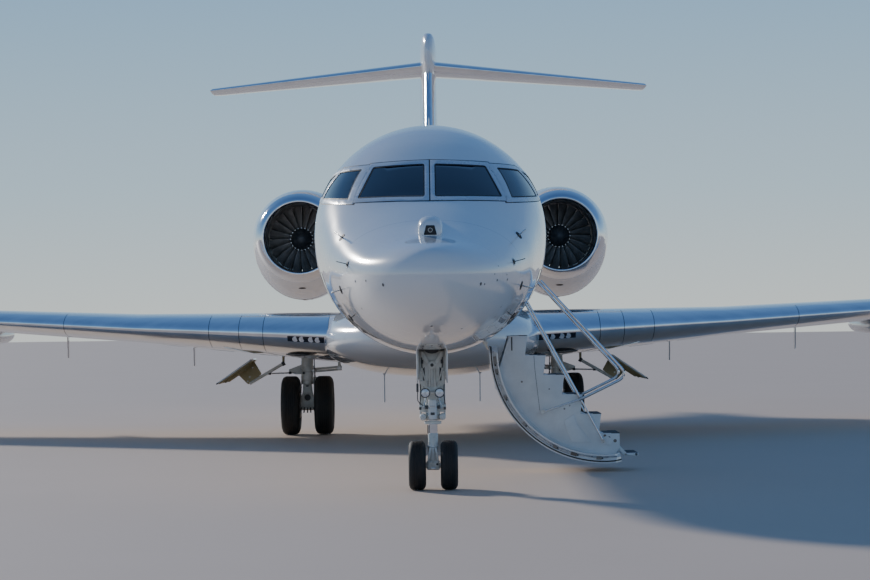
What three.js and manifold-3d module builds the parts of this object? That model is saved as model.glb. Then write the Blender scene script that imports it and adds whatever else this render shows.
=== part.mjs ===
// Long-range twin-engine business jet, parked on its gear with the airstair lowered.
// Millimetres, +Z up, nose towards -Y, port side towards +X.
// The origin is on the ground, below the middle of the length. A station is a distance behind the nose tip.
import * as THREE from 'three';
import { mergeVertices } from 'three/addons/utils/BufferGeometryUtils.js';
import Module from 'manifold-3d';

const wasm = await Module();
wasm.setup();

// Overall size and fits
const LENGTH = 30300;
const SEAM = 0.3;
const WELD = 0.03;
const SURFACE_GAP = 10;
const PIN_LENGTH = 40;
const PIN_SHARE = 0.35;
const NOSE_SHARE = 0.85;
const RING_POINTS = 28;
const SMALL_RING_POINTS = 20;
const FAR = 20000;

// Fuselage: circular cabin, wall thickness with its lining, floor height
const CABIN_RADIUS = 1345;
const CABIN_AXIS_Z = 2755;
const CABIN_WALL = 100;
const COCKPIT_WALL = 90;
const REAR_WALL = 35;
const FLOOR_Z = 2070;
const RADOME_END = 780;
const NOSE_BULKHEAD = 1750;
const COCKPIT_END = 4750;
const CABIN_END = 18200;

// Hull sections, joined by straight lines
const HULL = [
  // station, half width, top, bottom, widest height, squareness of upper half
  [0, 60, 2310, 2190, 2250, 2.0],
  [90, 250, 2470, 2010, 2255, 2.0],
  [300, 450, 2545, 1830, 2265, 2.0],
  [700, 680, 2622, 1670, 2290, 2.0],
  [780, 715, 2648, 1650, 2296, 2.0],
  [1200, 870, 2765, 1560, 2330, 2.1],
  [1750, 1010, 2965, 1502, 2400, 2.2],
  [2000, 1070, 3060, 1480, 2430, 2.3],
  [2500, 1155, 3320, 1450, 2530, 2.3],
  [3000, 1230, 3565, 1430, 2620, 2.3],
  [3600, 1290, 3830, 1420, 2700, 2.2],
  [4200, 1330, 4005, 1412, 2740, 2.1],
  [4750, 1342, 4085, 1410, 2752, 2.0],
  [4900, 1345, 4100, 1410, 2755, 2.0],
  [17800, 1345, 4100, 1410, 2755, 2.0],
  [18200, 1338, 4100, 1440, 2770, 2.0],
  [20000, 1290, 4100, 1610, 2850, 2.0],
  [22500, 1080, 4075, 2110, 3080, 2.0],
  [25000, 750, 3985, 2720, 3340, 2.0],
  [27200, 400, 3800, 3230, 3510, 2.0],
  [28500, 190, 3640, 3380, 3510, 2.0],
];

// Belly fairing around the wing root
const FAIRING = [
  // station, half width, top, bottom, widest height, squareness of upper half
  [9300, 500, 1900, 1395, 1560, 2.2],
  [9900, 1080, 1960, 1240, 1540, 2.3],
  [10900, 1500, 2050, 1080, 1520, 2.5],
  [12200, 1660, 2160, 985, 1510, 2.6],
  [16400, 1650, 2160, 980, 1510, 2.6],
  [18200, 1350, 2060, 1120, 1560, 2.5],
  [19600, 700, 1950, 1420, 1640, 2.3],
];

// Wing: leading edge, chord and thickness along the half span
const WING = [
  // distance out, leading edge station, chord, thickness ratio, twist
  [SEAM / 2, 10060, 7300, 0.12, 3.0],
  [1200, 10900, 6450, 0.12, 3.0],
  [4600, 13268, 3980, 0.115, 1.6],
  [13550, 19500, 1330, 0.1, -1.5],
];
const WING_Z = 1450;
const WING_SLOPE = 0.06;
const QUARTER = 0.25;
const SLAT_IN = 1500;
const SLAT_OUT = 13300;
const FLAP_SPLIT = 4650;
const FLAP_OUT = 9700;
const FLAP_FRACTION = 0.77;
const AILERON_IN = 10050;
const AILERON_OUT = 13150;
const AILERON_FRACTION = 0.74;

// Fin, tailplane and the bullet where they meet
const FIN = [
  // height, leading edge station, chord, thickness ratio
  [3700, 21700, 5150, 0.085],
  [6930, 24730, 3290, 0.1],
];
const TAILPLANE = [
  // distance out, leading edge station, chord, thickness ratio
  [SEAM / 2, 25150, 3150, 0.09],
  [4865, 28700, 1600, 0.085],
];
const TAILPLANE_Z = 7157;
const TAILPLANE_SLOPE = -0.0236;
const TAILPLANE_TILT = -1.6;
const RUDDER_FRACTION = 0.7;
const RUDDER_Z = [4650, 6620];
const ELEVATOR_FRACTION = 0.68;
const ELEVATOR_X = [760, 4560];
const BULLET = [
  // station, half width, top, bottom, widest height, squareness
  [24500, 20, 7400, 7320, 7360, 2.0],
  [24620, 90, 7600, 7080, 7340, 2.3],
  [25000, 155, 7780, 6900, 7320, 2.7],
  [25800, 178, 7850, 6810, 7300, 2.9],
  [27200, 174, 7820, 6820, 7260, 2.7],
  [28600, 110, 7570, 6960, 7240, 2.3],
  [29700, 25, 7290, 7200, 7245, 2.0],
];

// Engines on the rear fuselage
const ENGINE_X = 2390;
const ENGINE_Z = 3380;
const ENGINE_STATION = 19500;
const ENGINE_SEGMENTS = 28;
const DUCT_RADIUS = 660;
const FAN_RADIUS = 610;
const FAN_BLADES = 20;
const FAN_MIDDLE = 930;
const SHAFT_RADIUS = 60;
const SHAFT_BORE = 64;

// Airstair door on the port side, between the cockpit and the cabin
const DOOR_FROM = 4900;
const DOOR_TO = 5810;
const DOOR_GAP = 8;
const DOOR_LOW_ANGLE = 29;
const DOOR_HIGH_ANGLE = 130;
const DOOR_OPEN_ANGLE = 121;
const DOOR_HINGE = [640, 1530];
const STEP_COUNT = 6;
const STEP_FIRST = [1130, 1615];
const STEP_RUN = 215;
const STEP_RISE = 233;
const STRINGER_OUTSIDE = 330;
const STRINGER_THICK = 28;

// Landing gear
const TYRE_SEGMENTS = 20;
const RIM_SEGMENTS = 16;
const NOSE_GEAR_STATION = 2400;
const NOSE_TYRE = { radius: 266, width: 184, rim: 140, offset: 170 };
const MAIN_GEAR_STATION = 15200;
const MAIN_GEAR_X = 2030;
const MAIN_TYRE = { radius: 482, width: 305, rim: 250, offset: 270 };

// Materials
function material(color, roughness, metalness) {
  return new THREE.MeshStandardMaterial({ color, roughness, metalness });
}
const whitePaint = material('#f1f2f3', 0.22, 0.1);
const whiteComposite = material('#eceded', 0.25, 0);
const polishedMetal = material('#cfd3d8', 0.1, 1);
const darkGlass = material('#10151b', 0.06, 0);
const gearPaint = material('#e6e7e4', 0.35, 0.1);
const rubber = material('#17181a', 0.85, 0);
const rimMetal = material('#b9bcc0', 0.35, 0.8);
const fanMetal = material('#3d434b', 0.3, 0.9);
const coreMetal = material('#6d6a66', 0.5, 0.8);
const doorLining = material('#dcdee0', 0.5, 0);
const chrome = material('#d9dde2', 0.08, 1);
const cabinTrim = material('#bdb3a4', 0.7, 0);
const panelPlastic = material('#2b2d30', 0.6, 0);
const leather = material('#6f655a', 0.6, 0);
const primer = material('#8b8146', 0.6, 0);

const degrees = THREE.MathUtils.degToRad;
const alongY = (station) => station - LENGTH / 2;

// Solids

// One closed solid from vertices and triangles, turned right side out
function solidOf(vertices, triangles) {
  let volume = 0;
  for (const [a, b, c] of triangles) {
    volume += vertices[a].dot(vertices[b].clone().cross(vertices[c]));
  }
  const ordered = volume < 0 ? triangles.map(([a, b, c]) => [a, c, b]) : triangles;
  return new wasm.Manifold(new wasm.Mesh({
    numProp: 3,
    vertProperties: new Float32Array(vertices.flatMap((v) => v.toArray())),
    triVerts: new Uint32Array(ordered.flat()),
  }));
}

function solidFrom(geometry) {
  const bare = geometry.clone();
  bare.deleteAttribute('normal');
  bare.deleteAttribute('uv');
  const merged = mergeVertices(bare, 1e-4);
  const position = merged.getAttribute('position');
  const vertices = Array.from({ length: position.count }, (_, i) => (
    new THREE.Vector3().fromBufferAttribute(position, i)
  ));
  const triangles = [];
  for (let i = 0; i < merged.index.count; i += 3) {
    const corners = [0, 1, 2].map((k) => merged.index.getX(i + k));
    if (new Set(corners).size === 3) {
      triangles.push(corners);
    }
  }
  return solidOf(vertices, triangles);
}

function geometryOf(solid) {
  const mesh = solid.getMesh();
  const geometry = new THREE.BufferGeometry();
  geometry.setAttribute('position', new THREE.BufferAttribute(mesh.vertProperties, 3));
  geometry.setIndex(new THREE.BufferAttribute(mesh.triVerts, 1));
  geometry.computeVertexNormals();
  return geometry;
}

// The same geometry with corners that all but coincide made one, and the triangles between them dropped
function welded(geometry) {
  const position = geometry.getAttribute('position');
  const points = [];
  const corners = Array.from({ length: position.count }, (_, i) => {
    const point = new THREE.Vector3().fromBufferAttribute(position, i);
    const same = points.findIndex((other) => other.distanceTo(point) < WELD);
    return same < 0 ? points.push(point) - 1 : same;
  });
  const index = [];
  for (let i = 0; i < geometry.index.count; i += 3) {
    const [a, b, c] = [0, 1, 2].map((k) => corners[geometry.index.getX(i + k)]);
    if (a !== b && b !== c && c !== a) {
      index.push(a, b, c);
    }
  }
  const result = new THREE.BufferGeometry().setFromPoints(points).setIndex(index);
  result.computeVertexNormals();
  return result;
}

const moved = (solid, matrix) => solidFrom(geometryOf(solid).applyMatrix4(matrix));
const mirrored = (solid) => moved(solid, new THREE.Matrix4().makeScale(-1, 1, 1));
const joined = (solids) => solids.reduce((whole, solid) => whole.add(solid));
const without = (solid, tools) => tools.reduce((rest, tool) => rest.subtract(tool), solid);

// A skin through closed rings that have the same number of points, with both ends closed
function loft(rings) {
  const count = rings[0].length;
  const vertices = rings.flat();
  const triangles = [];
  for (let r = 0; r + 1 < rings.length; r += 1) {
    for (let i = 0; i < count; i += 1) {
      const a = r * count + i;
      const b = r * count + (i + 1) % count;
      const slack = vertices[a].distanceTo(vertices[b + count]) - vertices[b].distanceTo(vertices[a + count]);
      if (slack < 1e-3) {
        triangles.push([a, b, b + count], [a, b + count, a + count]);
      } else {
        triangles.push([a, b, a + count], [b, b + count, a + count]);
      }
    }
  }
  for (const [ring, flip] of [[0, true], [rings.length - 1, false]]) {
    const middle = rings[ring].reduce((sum, p) => sum.add(p), new THREE.Vector3()).divideScalar(count);
    const centre = vertices.push(middle) - 1;
    for (let i = 0; i < count; i += 1) {
      const a = ring * count + i;
      const b = ring * count + (i + 1) % count;
      triangles.push(flip ? [centre, b, a] : [centre, a, b]);
    }
  }
  return solidOf(vertices, triangles);
}

function box([x0, y0, z0], [x1, y1, z1]) {
  const geometry = new THREE.BoxGeometry(x1 - x0, y1 - y0, z1 - z0);
  return solidFrom(geometry.translate((x0 + x1) / 2, (y0 + y1) / 2, (z0 + z1) / 2));
}

// A round bar or cone between two points
function rod(from, to, radius, endRadius = radius, segments = 8) {
  const start = new THREE.Vector3(...from);
  const end = new THREE.Vector3(...to);
  const axis = end.clone().sub(start);
  const geometry = new THREE.CylinderGeometry(endRadius, radius, axis.length(), segments);
  const alongAxis = axis.clone().normalize();
  geometry.applyQuaternion(new THREE.Quaternion().setFromUnitVectors(new THREE.Vector3(0, 1, 0), alongAxis));
  const middle = start.add(end).divideScalar(2);
  return solidFrom(geometry.translate(...middle));
}

const PLANES = {
  // each plane's first axis, second axis and depth axis
  xz: [new THREE.Vector3(1, 0, 0), new THREE.Vector3(0, 0, 1), new THREE.Vector3(0, 1, 0)],
  yz: [new THREE.Vector3(0, 1, 0), new THREE.Vector3(0, 0, 1), new THREE.Vector3(1, 0, 0)],
  xy: [new THREE.Vector3(1, 0, 0), new THREE.Vector3(0, 1, 0), new THREE.Vector3(0, 0, 1)],
};

// An outline in one plane, made solid between two depths
function prism(outline, plane, from, to) {
  const shape = new THREE.Shape(outline.map(([a, b]) => new THREE.Vector2(a, b)));
  const geometry = new THREE.ExtrudeGeometry(shape, { depth: to - from, bevelEnabled: false });
  geometry.translate(0, 0, from);
  return solidFrom(geometry.applyMatrix4(new THREE.Matrix4().makeBasis(...PLANES[plane])));
}

// A solid of revolution about the Y axis, from [radius, y] points
function turned(profile, segments) {
  return solidFrom(new THREE.LatheGeometry(profile.map(([r, y]) => new THREE.Vector2(r, y)), segments));
}

const ontoX = new THREE.Matrix4().makeRotationZ(-Math.PI / 2);
const UP = new THREE.Vector3(0, 0, 1);
const SIDEWAYS = new THREE.Vector3(1, 0, 0);

// Sections

// The two rows of a table that lie around a value of its first column, and how far between them it is
function rowsAround(table, where) {
  const found = table.findIndex(([at], i) => i > 0 && at >= where);
  const next = found < 0 ? table.length - 1 : found;
  const [low, high] = [table[next - 1], table[next]];
  return [low, high, (where - low[0]) / (high[0] - low[0])];
}

function rowAt(table, where) {
  const [low, high, share] = rowsAround(table, where);
  return low.map((value, i) => value + (high[i] - value) * share);
}

// An oval hull ring, set in by an inset
function hullRing([station, halfWidth, top, bottom, widest, squareness], inset, count) {
  return Array.from({ length: count }, (_, i) => {
    const angle = (i / count) * 2 * Math.PI;
    const upper = Math.sin(angle) >= 0;
    const power = 2 / (upper ? squareness : 2);
    const across = Math.sign(Math.cos(angle)) * Math.abs(Math.cos(angle)) ** power;
    const up = Math.abs(Math.sin(angle)) ** power;
    const x = (halfWidth - inset) * across;
    const z = upper ? widest + (top - inset - widest) * up : widest - (widest - bottom - inset) * up;
    return new THREE.Vector3(x, alongY(station), z);
  });
}

function hull(table, from, to, inset = 0, count = table === HULL ? RING_POINTS : SMALL_RING_POINTS) {
  const inside = table.filter(([station]) => station > from && station < to);
  const rows = [rowAt(table, from), ...inside, rowAt(table, to)];
  return loft(rows.map((row) => hullRing(row, inset, count)));
}

// The part of the hull's wall between two insets
const layer = (from, to, outer, inner) => hull(HULL, from, to, outer).subtract(hull(HULL, from, to, inner));

// Half thickness of the usual four-digit section, as a share of chord
function halfThickness(share, ratio) {
  const terms = [-0.126, -0.3516, 0.2843, -0.1015];
  const tail = terms.reduce((sum, factor, i) => sum + factor * share ** (i + 1), 0);
  return 5 * ratio * (0.2969 * Math.sqrt(share) + tail);
}

const CHORD_POINTS = 9;
const CAMBER = 0.012;

// One aerofoil section. x, station and z are those of its quarter-chord point, and cant tips it inboard.
function foil({ x, lead, z, chord, ratio, twist = 0, cant = 0, camber = CAMBER }) {
  const place = (share, offset) => {
    const back = (share - QUARTER) * chord;
    const rise = (offset + camber * 4 * share * (1 - share)) * chord;
    const lift = rise * Math.cos(degrees(twist)) - back * Math.sin(degrees(twist));
    const along = lead + QUARTER * chord + back * Math.cos(degrees(twist)) + rise * Math.sin(degrees(twist));
    const lean = degrees(cant);
    return new THREE.Vector3(x - lift * Math.sin(lean), alongY(along), z + lift * Math.cos(lean));
  };
  const ring = [];
  for (let i = -CHORD_POINTS; i <= CHORD_POINTS; i += 1) {
    const share = (1 - Math.cos((Math.PI * i) / CHORD_POINTS)) / 2;
    ring.push(place(share, -Math.sign(i) * halfThickness(share, ratio)));
  }
  return { ring, place };
}

// A section of a lofted surface, anywhere between the rows of its table
function sectionAt(table, where, sectionOf) {
  const [low, high, share] = rowsAround(table, where);
  const [start, end] = [low, high].map((row) => foil(sectionOf(row)));
  const [, lead, chord] = rowAt(table, where);
  const thickness = THREE.MathUtils.lerp(low[2] * low[3], high[2] * high[3], share);
  return {
    ring: start.ring.map((point, i) => point.clone().lerp(end.ring[i], share)),
    place: (part, offset) => start.place(part, offset).lerp(end.place(part, offset), share),
    lead,
    chord,
    ratio: thickness / chord,
  };
}

const wingFoil = (x) => sectionAt(WING, x, ([out, lead, chord, ratio, twist]) => (
  { x: out, lead, chord, ratio, twist, z: WING_Z + WING_SLOPE * out }
));
const tailFoil = (x) => sectionAt(TAILPLANE, x, ([out, lead, chord, ratio]) => (
  { x: out, lead, chord, ratio, twist: TAILPLANE_TILT, z: TAILPLANE_Z + TAILPLANE_SLOPE * out, camber: 0 }
));
const finFoil = (height) => sectionAt(FIN, height, ([z, lead, chord, ratio]) => (
  { x: 0, lead, chord, ratio, z, cant: 90, camber: 0 }
));

// Ring of the hollow between a tail surface's skins, ahead of its hinge
function hollowRing({ x, z, lead, chord, ratio, cant = 0, twist = 0 }) {
  const share = 0.55;
  const depth = 0.84;
  const front = lead + 0.07 * chord;
  const thick = (ratio * depth) / share;
  return foil({ x, z, cant, twist, lead: front, chord: chord * share, ratio: thick, camber: 0 }).ring;
}

// Parts a hinged surface from its body: a round nose and end pins on the surface, a wider hollow in the body
function splitSurface(body, sections, share, side) {
  const [start, end] = sections.map((section) => section.place(share, 0));
  const [startRadius, endRadius] = sections.map((s) => s.chord * halfThickness(share, s.ratio) * 1.02);
  const along = end.clone().sub(start);
  const span = along.length();
  along.normalize();
  const across = side.clone().sub(along.clone().multiplyScalar(side.dot(along))).normalize();
  const aft = along.clone().cross(across);
  if (aft.y < 0) {
    aft.negate();
  }
  const frame = new THREE.Matrix4().makeBasis(along, aft, across).setPosition(start);
  const slab = (gap, front) => moved(box([-gap, front, -FAR], [span + gap, FAR, FAR]), frame);
  const nose = (share, gap, segments) => {
    const [near, far] = [-gap, span + gap].map((reach) => start.clone().addScaledVector(along, reach));
    return rod(near, far, startRadius * share + gap, endRadius * share + gap, segments);
  };
  const pinPlaces = [[start, -1, startRadius], [end, 1, endRadius]];
  const pins = (segments, clearance) => pinPlaces.map(([at, way, radius]) => {
    const inner = at.clone().addScaledVector(along, -way * PIN_LENGTH);
    const outer = at.clone().addScaledVector(along, way * (SURFACE_GAP + PIN_LENGTH + clearance));
    const pinRadius = (radius * PIN_SHARE + clearance) / (clearance ? Math.cos(Math.PI / segments) : 1);
    return rod(inner.toArray(), outer.toArray(), pinRadius, pinRadius, segments);
  });
  return {
    surface: joined([body.intersect(slab(0, 0)), nose(NOSE_SHARE, 0, 12), ...pins(6, 0)]),
    body: without(body, [slab(SURFACE_GAP, -SEAM).add(nose(1, SURFACE_GAP, 16)), ...pins(12, SEAM)]),
  };
}

// Scene graph

const jet = new THREE.Group();

function add(name, solid, look, parent = jet) {
  const mesh = new THREE.Mesh(welded(geometryOf(solid)), look);
  mesh.name = name;
  parent.add(mesh);
  return mesh;
}

function addPair(name, portSolid, look) {
  add(`${name}_port`, portSolid, look);
  add(`${name}_starboard`, mirrored(portSolid), look);
}

// Fuselage

const wholeHull = hull(HULL, 0, 28500, -SEAM);
const wholeFairing = hull(FAIRING, 9300, 19600, -SEAM);

// Window outlines: the front panes seen from ahead, the side panes seen from the side
const FRONT_PANE = [[53, 3108], [777, 3112], [615, 3492], [53, 3512]];
const SIDE_PANE = [[2510, 3108], [3100, 3475], [3600, 3480], [3590, 3176]];
const REAR_PANE = [[3705, 3190], [3715, 3480], [4140, 3430], [4200, 3230]];
const PANE_FRONT = 1800;
const PANE_BACK = 3500;

// An outline with each of its sides drawn in by an edge
function shrunk(outline, edge) {
  const corners = outline.map(([a, b]) => new THREE.Vector2(a, b));
  const inward = Math.sign(THREE.ShapeUtils.area(corners));
  const normals = corners.map((corner, i) => {
    const along = corners[(i + 1) % corners.length].clone().sub(corner).normalize();
    return new THREE.Vector2(-along.y, along.x).multiplyScalar(inward);
  });
  return corners.map((corner, i) => {
    const before = normals.at(i - 1);
    const shift = edge / (1 + before.dot(normals[i]));
    return corner.clone().addScaledVector(before, shift).addScaledVector(normals[i], shift).toArray();
  });
}

// The six cockpit panes as cutting prisms, drawn in by an edge
function paneTools(edge) {
  const front = prism(shrunk(FRONT_PANE, edge), 'xz', alongY(PANE_FRONT), alongY(PANE_BACK));
  const flanks = [SIDE_PANE, REAR_PANE].map((outline) => {
    const drawn = shrunk(outline, edge).map(([station, z]) => [alongY(station), z]);
    return prism(drawn, 'yz', 560, 2000);
  });
  return [front, ...flanks].flatMap((tool) => [tool, mirrored(tool)]);
}

// Cabin windows: rounded rectangles along each side
const WINDOW_COUNT = 14;
const WINDOW_FIRST = 6450;
const WINDOW_PITCH = 790;
const WINDOW_Z = 3000;
const WINDOW_HALF = [160, 215];
const WINDOW_POINTS = 8;

function windowTools() {
  return Array.from({ length: WINDOW_COUNT }, (_, i) => {
    const middle = alongY(WINDOW_FIRST + i * WINDOW_PITCH);
    const outline = Array.from({ length: WINDOW_POINTS }, (_unused, k) => {
      const angle = ((k + 0.5) / WINDOW_POINTS) * 2 * Math.PI;
      const reach = (value) => Math.sign(value) * Math.abs(value) ** 0.6;
      const [across, up] = [reach(Math.cos(angle)), reach(Math.sin(angle))];
      return [middle + WINDOW_HALF[0] * across, WINDOW_Z + WINDOW_HALF[1] * up];
    });
    return prism(outline, 'yz', -2000, 2000);
  });
}

function buildRadome() {
  add('radome', hull(HULL, 0, RADOME_END - SEAM), whiteComposite);
}

// Hump ahead of the windscreen with the forward camera's window
const CAMERA_HUMP = [
  // station, half width, top, bottom, widest height, squareness
  [830, 85, 2800, 2640, 2690, 3.0],
  [960, 125, 2850, 2640, 2720, 2.5],
  [1250, 125, 2900, 2700, 2760, 2.2],
  [1700, 60, 2965, 2850, 2880, 2.0],
];
const NOSE_BAY = { halfWidth: 150, from: 1780, to: 2760, top: 1950 };

function buildCockpit() {
  const cavity = hull(HULL, NOSE_BULKHEAD, COCKPIT_END + 1, COCKPIT_WALL);
  const bay = box(
    [-NOSE_BAY.halfWidth, alongY(NOSE_BAY.from), 1300],
    [NOSE_BAY.halfWidth, alongY(NOSE_BAY.to), NOSE_BAY.top],
  );
  const bayLining = 25;
  const bayBox = box(
    [-NOSE_BAY.halfWidth - bayLining, alongY(NOSE_BAY.from) - bayLining, 1480],
    [NOSE_BAY.halfWidth + bayLining, alongY(NOSE_BAY.to) + bayLining, NOSE_BAY.top + bayLining],
  );
  const outer = hull(HULL, RADOME_END, COCKPIT_END);
  const skin = outer.subtract(cavity).add(bayBox.intersect(outer)).add(hull(CAMERA_HUMP, 830, 1700));
  add('cockpit_shell', without(skin, [...paneTools(0), bay]), whitePaint);

  const inner = layer(NOSE_BULKHEAD, COCKPIT_END, COCKPIT_WALL + SEAM, COCKPIT_WALL + 15);
  const band = inner.intersect(box([-FAR, alongY(1960), 2990], [FAR, alongY(4400), 3600]));
  const skins = layer(NOSE_BULKHEAD, COCKPIT_END, 15, COCKPIT_WALL + 14);
  add('windshield', joined([band, ...paneTools(SEAM).map((tool) => tool.intersect(skins))]), darkGlass);
}

function buildCabin() {
  const cavity = hull(HULL, COCKPIT_END - 10, CABIN_END - 250, CABIN_WALL);
  const shell = hull(HULL, COCKPIT_END + SEAM, CABIN_END).subtract(cavity);
  const doorway = box([0, alongY(DOOR_FROM), -FAR], [FAR, alongY(DOOR_TO), FAR]);
  const opening = doorway.intersect(doorSector(DOOR_LOW_ANGLE - doorEdge, DOOR_HIGH_ANGLE + doorEdge));
  const hinge = joined(HINGE_PLACES.map((y) => hingeKnuckle(y, y + HINGE_WIDTH, SILL_WEB)));
  const bore = hingeRod(-500, 500, (HINGE_PIN + SEAM) / Math.cos(Math.PI / 12), 12);
  const fixed = hinge.subtract(hull(HULL, COCKPIT_END, CABIN_END, 50)).subtract(bore);
  add('cabin_shell', without(shell, [opening, ...windowTools()]).add(fixed), whitePaint);

  const from = WINDOW_FIRST - 260;
  const to = WINDOW_FIRST + (WINDOW_COUNT - 1) * WINDOW_PITCH + 260;
  const glass = layer(from, to, CABIN_WALL + SEAM, CABIN_WALL + 14);
  const height = WINDOW_HALF[1] + 45;
  const band = box([500, -FAR, WINDOW_Z - height], [FAR, FAR, WINDOW_Z + height]);
  addPair('cabin_windows', glass.intersect(band), darkGlass);
}

// A slab through the cabin's round wall at the door, between two angles from straight down
function doorSector(low, high) {
  const steps = 14;
  const angles = Array.from({ length: steps + 1 }, (_, i) => degrees(low + ((high - low) * i) / steps));
  const arc = (radius) => angles.map((a) => [radius * Math.sin(a), CABIN_AXIS_Z - radius * Math.cos(a)]);
  const outline = [...arc(CABIN_RADIUS + 60), ...arc(900).reverse()];
  return prism(outline, 'xz', alongY(DOOR_FROM) - 100, alongY(DOOR_TO) + 100);
}
const doorEdge = THREE.MathUtils.radToDeg(DOOR_GAP / CABIN_RADIUS);

// Hinge below the sill: knuckles along its axis, on a web that runs into the wall or into the door
const HINGE_PLACES = [-300, 260];
const HINGE_WIDTH = 40;
const HINGE_RADIUS = 24;
const HINGE_PIN = 11;
const SILL_WEB = [[600, 1590], [560, 1545], [628, 1509], [655, 1542]];
const LEAF_WEB = [[617, 1534], [660, 1518], [705, 1590], [665, 1620]];

function hingeRod(from, to, radius, segments) {
  const middle = alongY((DOOR_FROM + DOOR_TO) / 2);
  const [x, z] = DOOR_HINGE;
  return rod([x, middle + from, z], [x, middle + to, z], radius, radius, segments);
}

function hingeKnuckle(from, to, web) {
  const middle = alongY((DOOR_FROM + DOOR_TO) / 2);
  return hingeRod(from, to, HINGE_RADIUS, 10).add(prism(web, 'xz', middle + from, middle + to));
}

function buildRearFuselage() {
  const cavity = hull(HULL, CABIN_END - 10, 26500, REAR_WALL);
  const exhaust = rod([0, alongY(28200), 3510], [0, alongY(28600), 3510], 95, 95, 12);
  add('rear_shell', without(hull(HULL, CABIN_END + SEAM, 28500), [cavity, exhaust]), whitePaint);
}

// Interior seen through the glass and the open door

function buildInterior() {
  const floorThick = 70;
  const ahead = box([-FAR, -FAR, -FAR], [FAR, alongY(COCKPIT_END) - 5, FAR]);
  const room = hull(HULL, NOSE_BULKHEAD, COCKPIT_END, COCKPIT_WALL + 16).intersect(ahead);
  const cabinRoom = hull(HULL, COCKPIT_END + SEAM, CABIN_END - 250 - SEAM, CABIN_WALL + SEAM);
  const front = alongY(COCKPIT_END) + 10;
  const deck = box([-FAR, front, FLOOR_Z - floorThick], [FAR, alongY(CABIN_END - 260), FLOOR_Z]);
  const stairwell = box([270, front - 20, 1000], [FAR, alongY(5950), FLOOR_Z + 10]);
  const partition = box([-FAR, front, FLOOR_Z - 10], [FAR, front + 50, FAR]);
  const passage = box([-330, -FAR, FLOOR_Z], [330, front + 90, 3850]);
  const fittings = joined([deck.subtract(stairwell), partition.subtract(passage)]);
  add('cabin_floor', fittings.intersect(cabinRoom), cabinTrim);

  const facia = prism([
    [2300, 2400], [2300, 2860], [2380, 2985], [2700, 3010], [2700, 2950], [2560, 2900], [2520, 2400],
  ].map(([station, z]) => [alongY(station), z]), 'yz', -1000, 1000);
  const pedestal = box([-150, alongY(2500), FLOOR_Z + 30], [150, alongY(3300), 2560]);
  add('instrument_panel', joined([facia, pedestal]).intersect(room), panelPlastic);

  const seat = prism([
    [3280, FLOOR_Z + 10], [3330, 2420], [3200, 2500], [3240, 2590], [3720, 2570], [3830, 3200], [3890, 3330],
    [3970, 3310], [3920, 2950], [3860, 2480], [3740, 2420], [3700, FLOOR_Z + 10],
  ].map(([station, z]) => [alongY(station), z]), 'yz', 210, 690);
  const cockpitDeck = box([-FAR, alongY(1800), FLOOR_Z - 40], [FAR, alongY(COCKPIT_END) - 5, FLOOR_Z + 29.7]);
  add('crew_seats', joined([cockpitDeck, seat, mirrored(seat)]).intersect(room), leather);
}

// Airstair door, drawn closed and then swung down about its sill hinge

const doorMiddle = alongY((DOOR_FROM + DOOR_TO) / 2);
const doorGroup = new THREE.Group();
doorGroup.position.set(DOOR_HINGE[0], doorMiddle, DOOR_HINGE[1]);
doorGroup.rotation.y = degrees(DOOR_OPEN_ANGLE);
jet.add(doorGroup);
const intoDoor = new THREE.Matrix4().makeTranslation(-DOOR_HINGE[0], -doorMiddle, -DOOR_HINGE[1]);
const openIntoDoor = new THREE.Matrix4().makeRotationY(-degrees(DOOR_OPEN_ANGLE)).multiply(intoDoor);

// Outline of a stair side, lowered: the stepped edge, then along the inside of the door skin
const TREAD_NOSE = (i) => [STEP_FIRST[0] + i * STEP_RUN, STEP_FIRST[1] - i * STEP_RISE];

function stairOutline(clearance) {
  const stepped = [[STEP_FIRST[0] - STEP_RUN, STEP_FIRST[1]]];
  for (let i = 0; i < STEP_COUNT; i += 1) {
    const [x, z] = TREAD_NOSE(i);
    stepped.push([x, z]);
    stepped.push([x, z - (i + 1 < STEP_COUNT ? STEP_RISE : STEP_RISE * 0.75)]);
  }
  const swing = degrees(DOOR_OPEN_ANGLE);
  const [dx, dz] = [-DOOR_HINGE[0], CABIN_AXIS_Z - DOOR_HINGE[1]];
  const arcCentre = [
    DOOR_HINGE[0] + dx * Math.cos(swing) + dz * Math.sin(swing),
    DOOR_HINGE[1] - dx * Math.sin(swing) + dz * Math.cos(swing),
  ];
  const reach = CABIN_RADIUS - CABIN_WALL - clearance;
  const bend = [];
  for (let angle = -84; angle >= -170; angle -= 9) {
    const turn = degrees(angle);
    bend.push([arcCentre[0] + reach * Math.cos(turn), arcCentre[1] + reach * Math.sin(turn)]);
  }
  return [...stepped, ...bend];
}

const doorLeafSector = (spare = 0) => doorSector(DOOR_LOW_ANGLE - spare, DOOR_HIGH_ANGLE + spare);

// The closed door: a piece of the cabin wall, with its inner face and its ends moved out by a clearance
function doorLeaf(clearance = 0) {
  const wall = layer(COCKPIT_END, CABIN_END, 0, CABIN_WALL + clearance);
  const sector = doorLeafSector(THREE.MathUtils.radToDeg(clearance / (CABIN_RADIUS - CABIN_WALL)));
  const width = box([0, alongY(DOOR_FROM) + DOOR_GAP, -FAR], [FAR, alongY(DOOR_TO) - DOOR_GAP, FAR]);
  return wall.intersect(sector).intersect(width);
}

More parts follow.
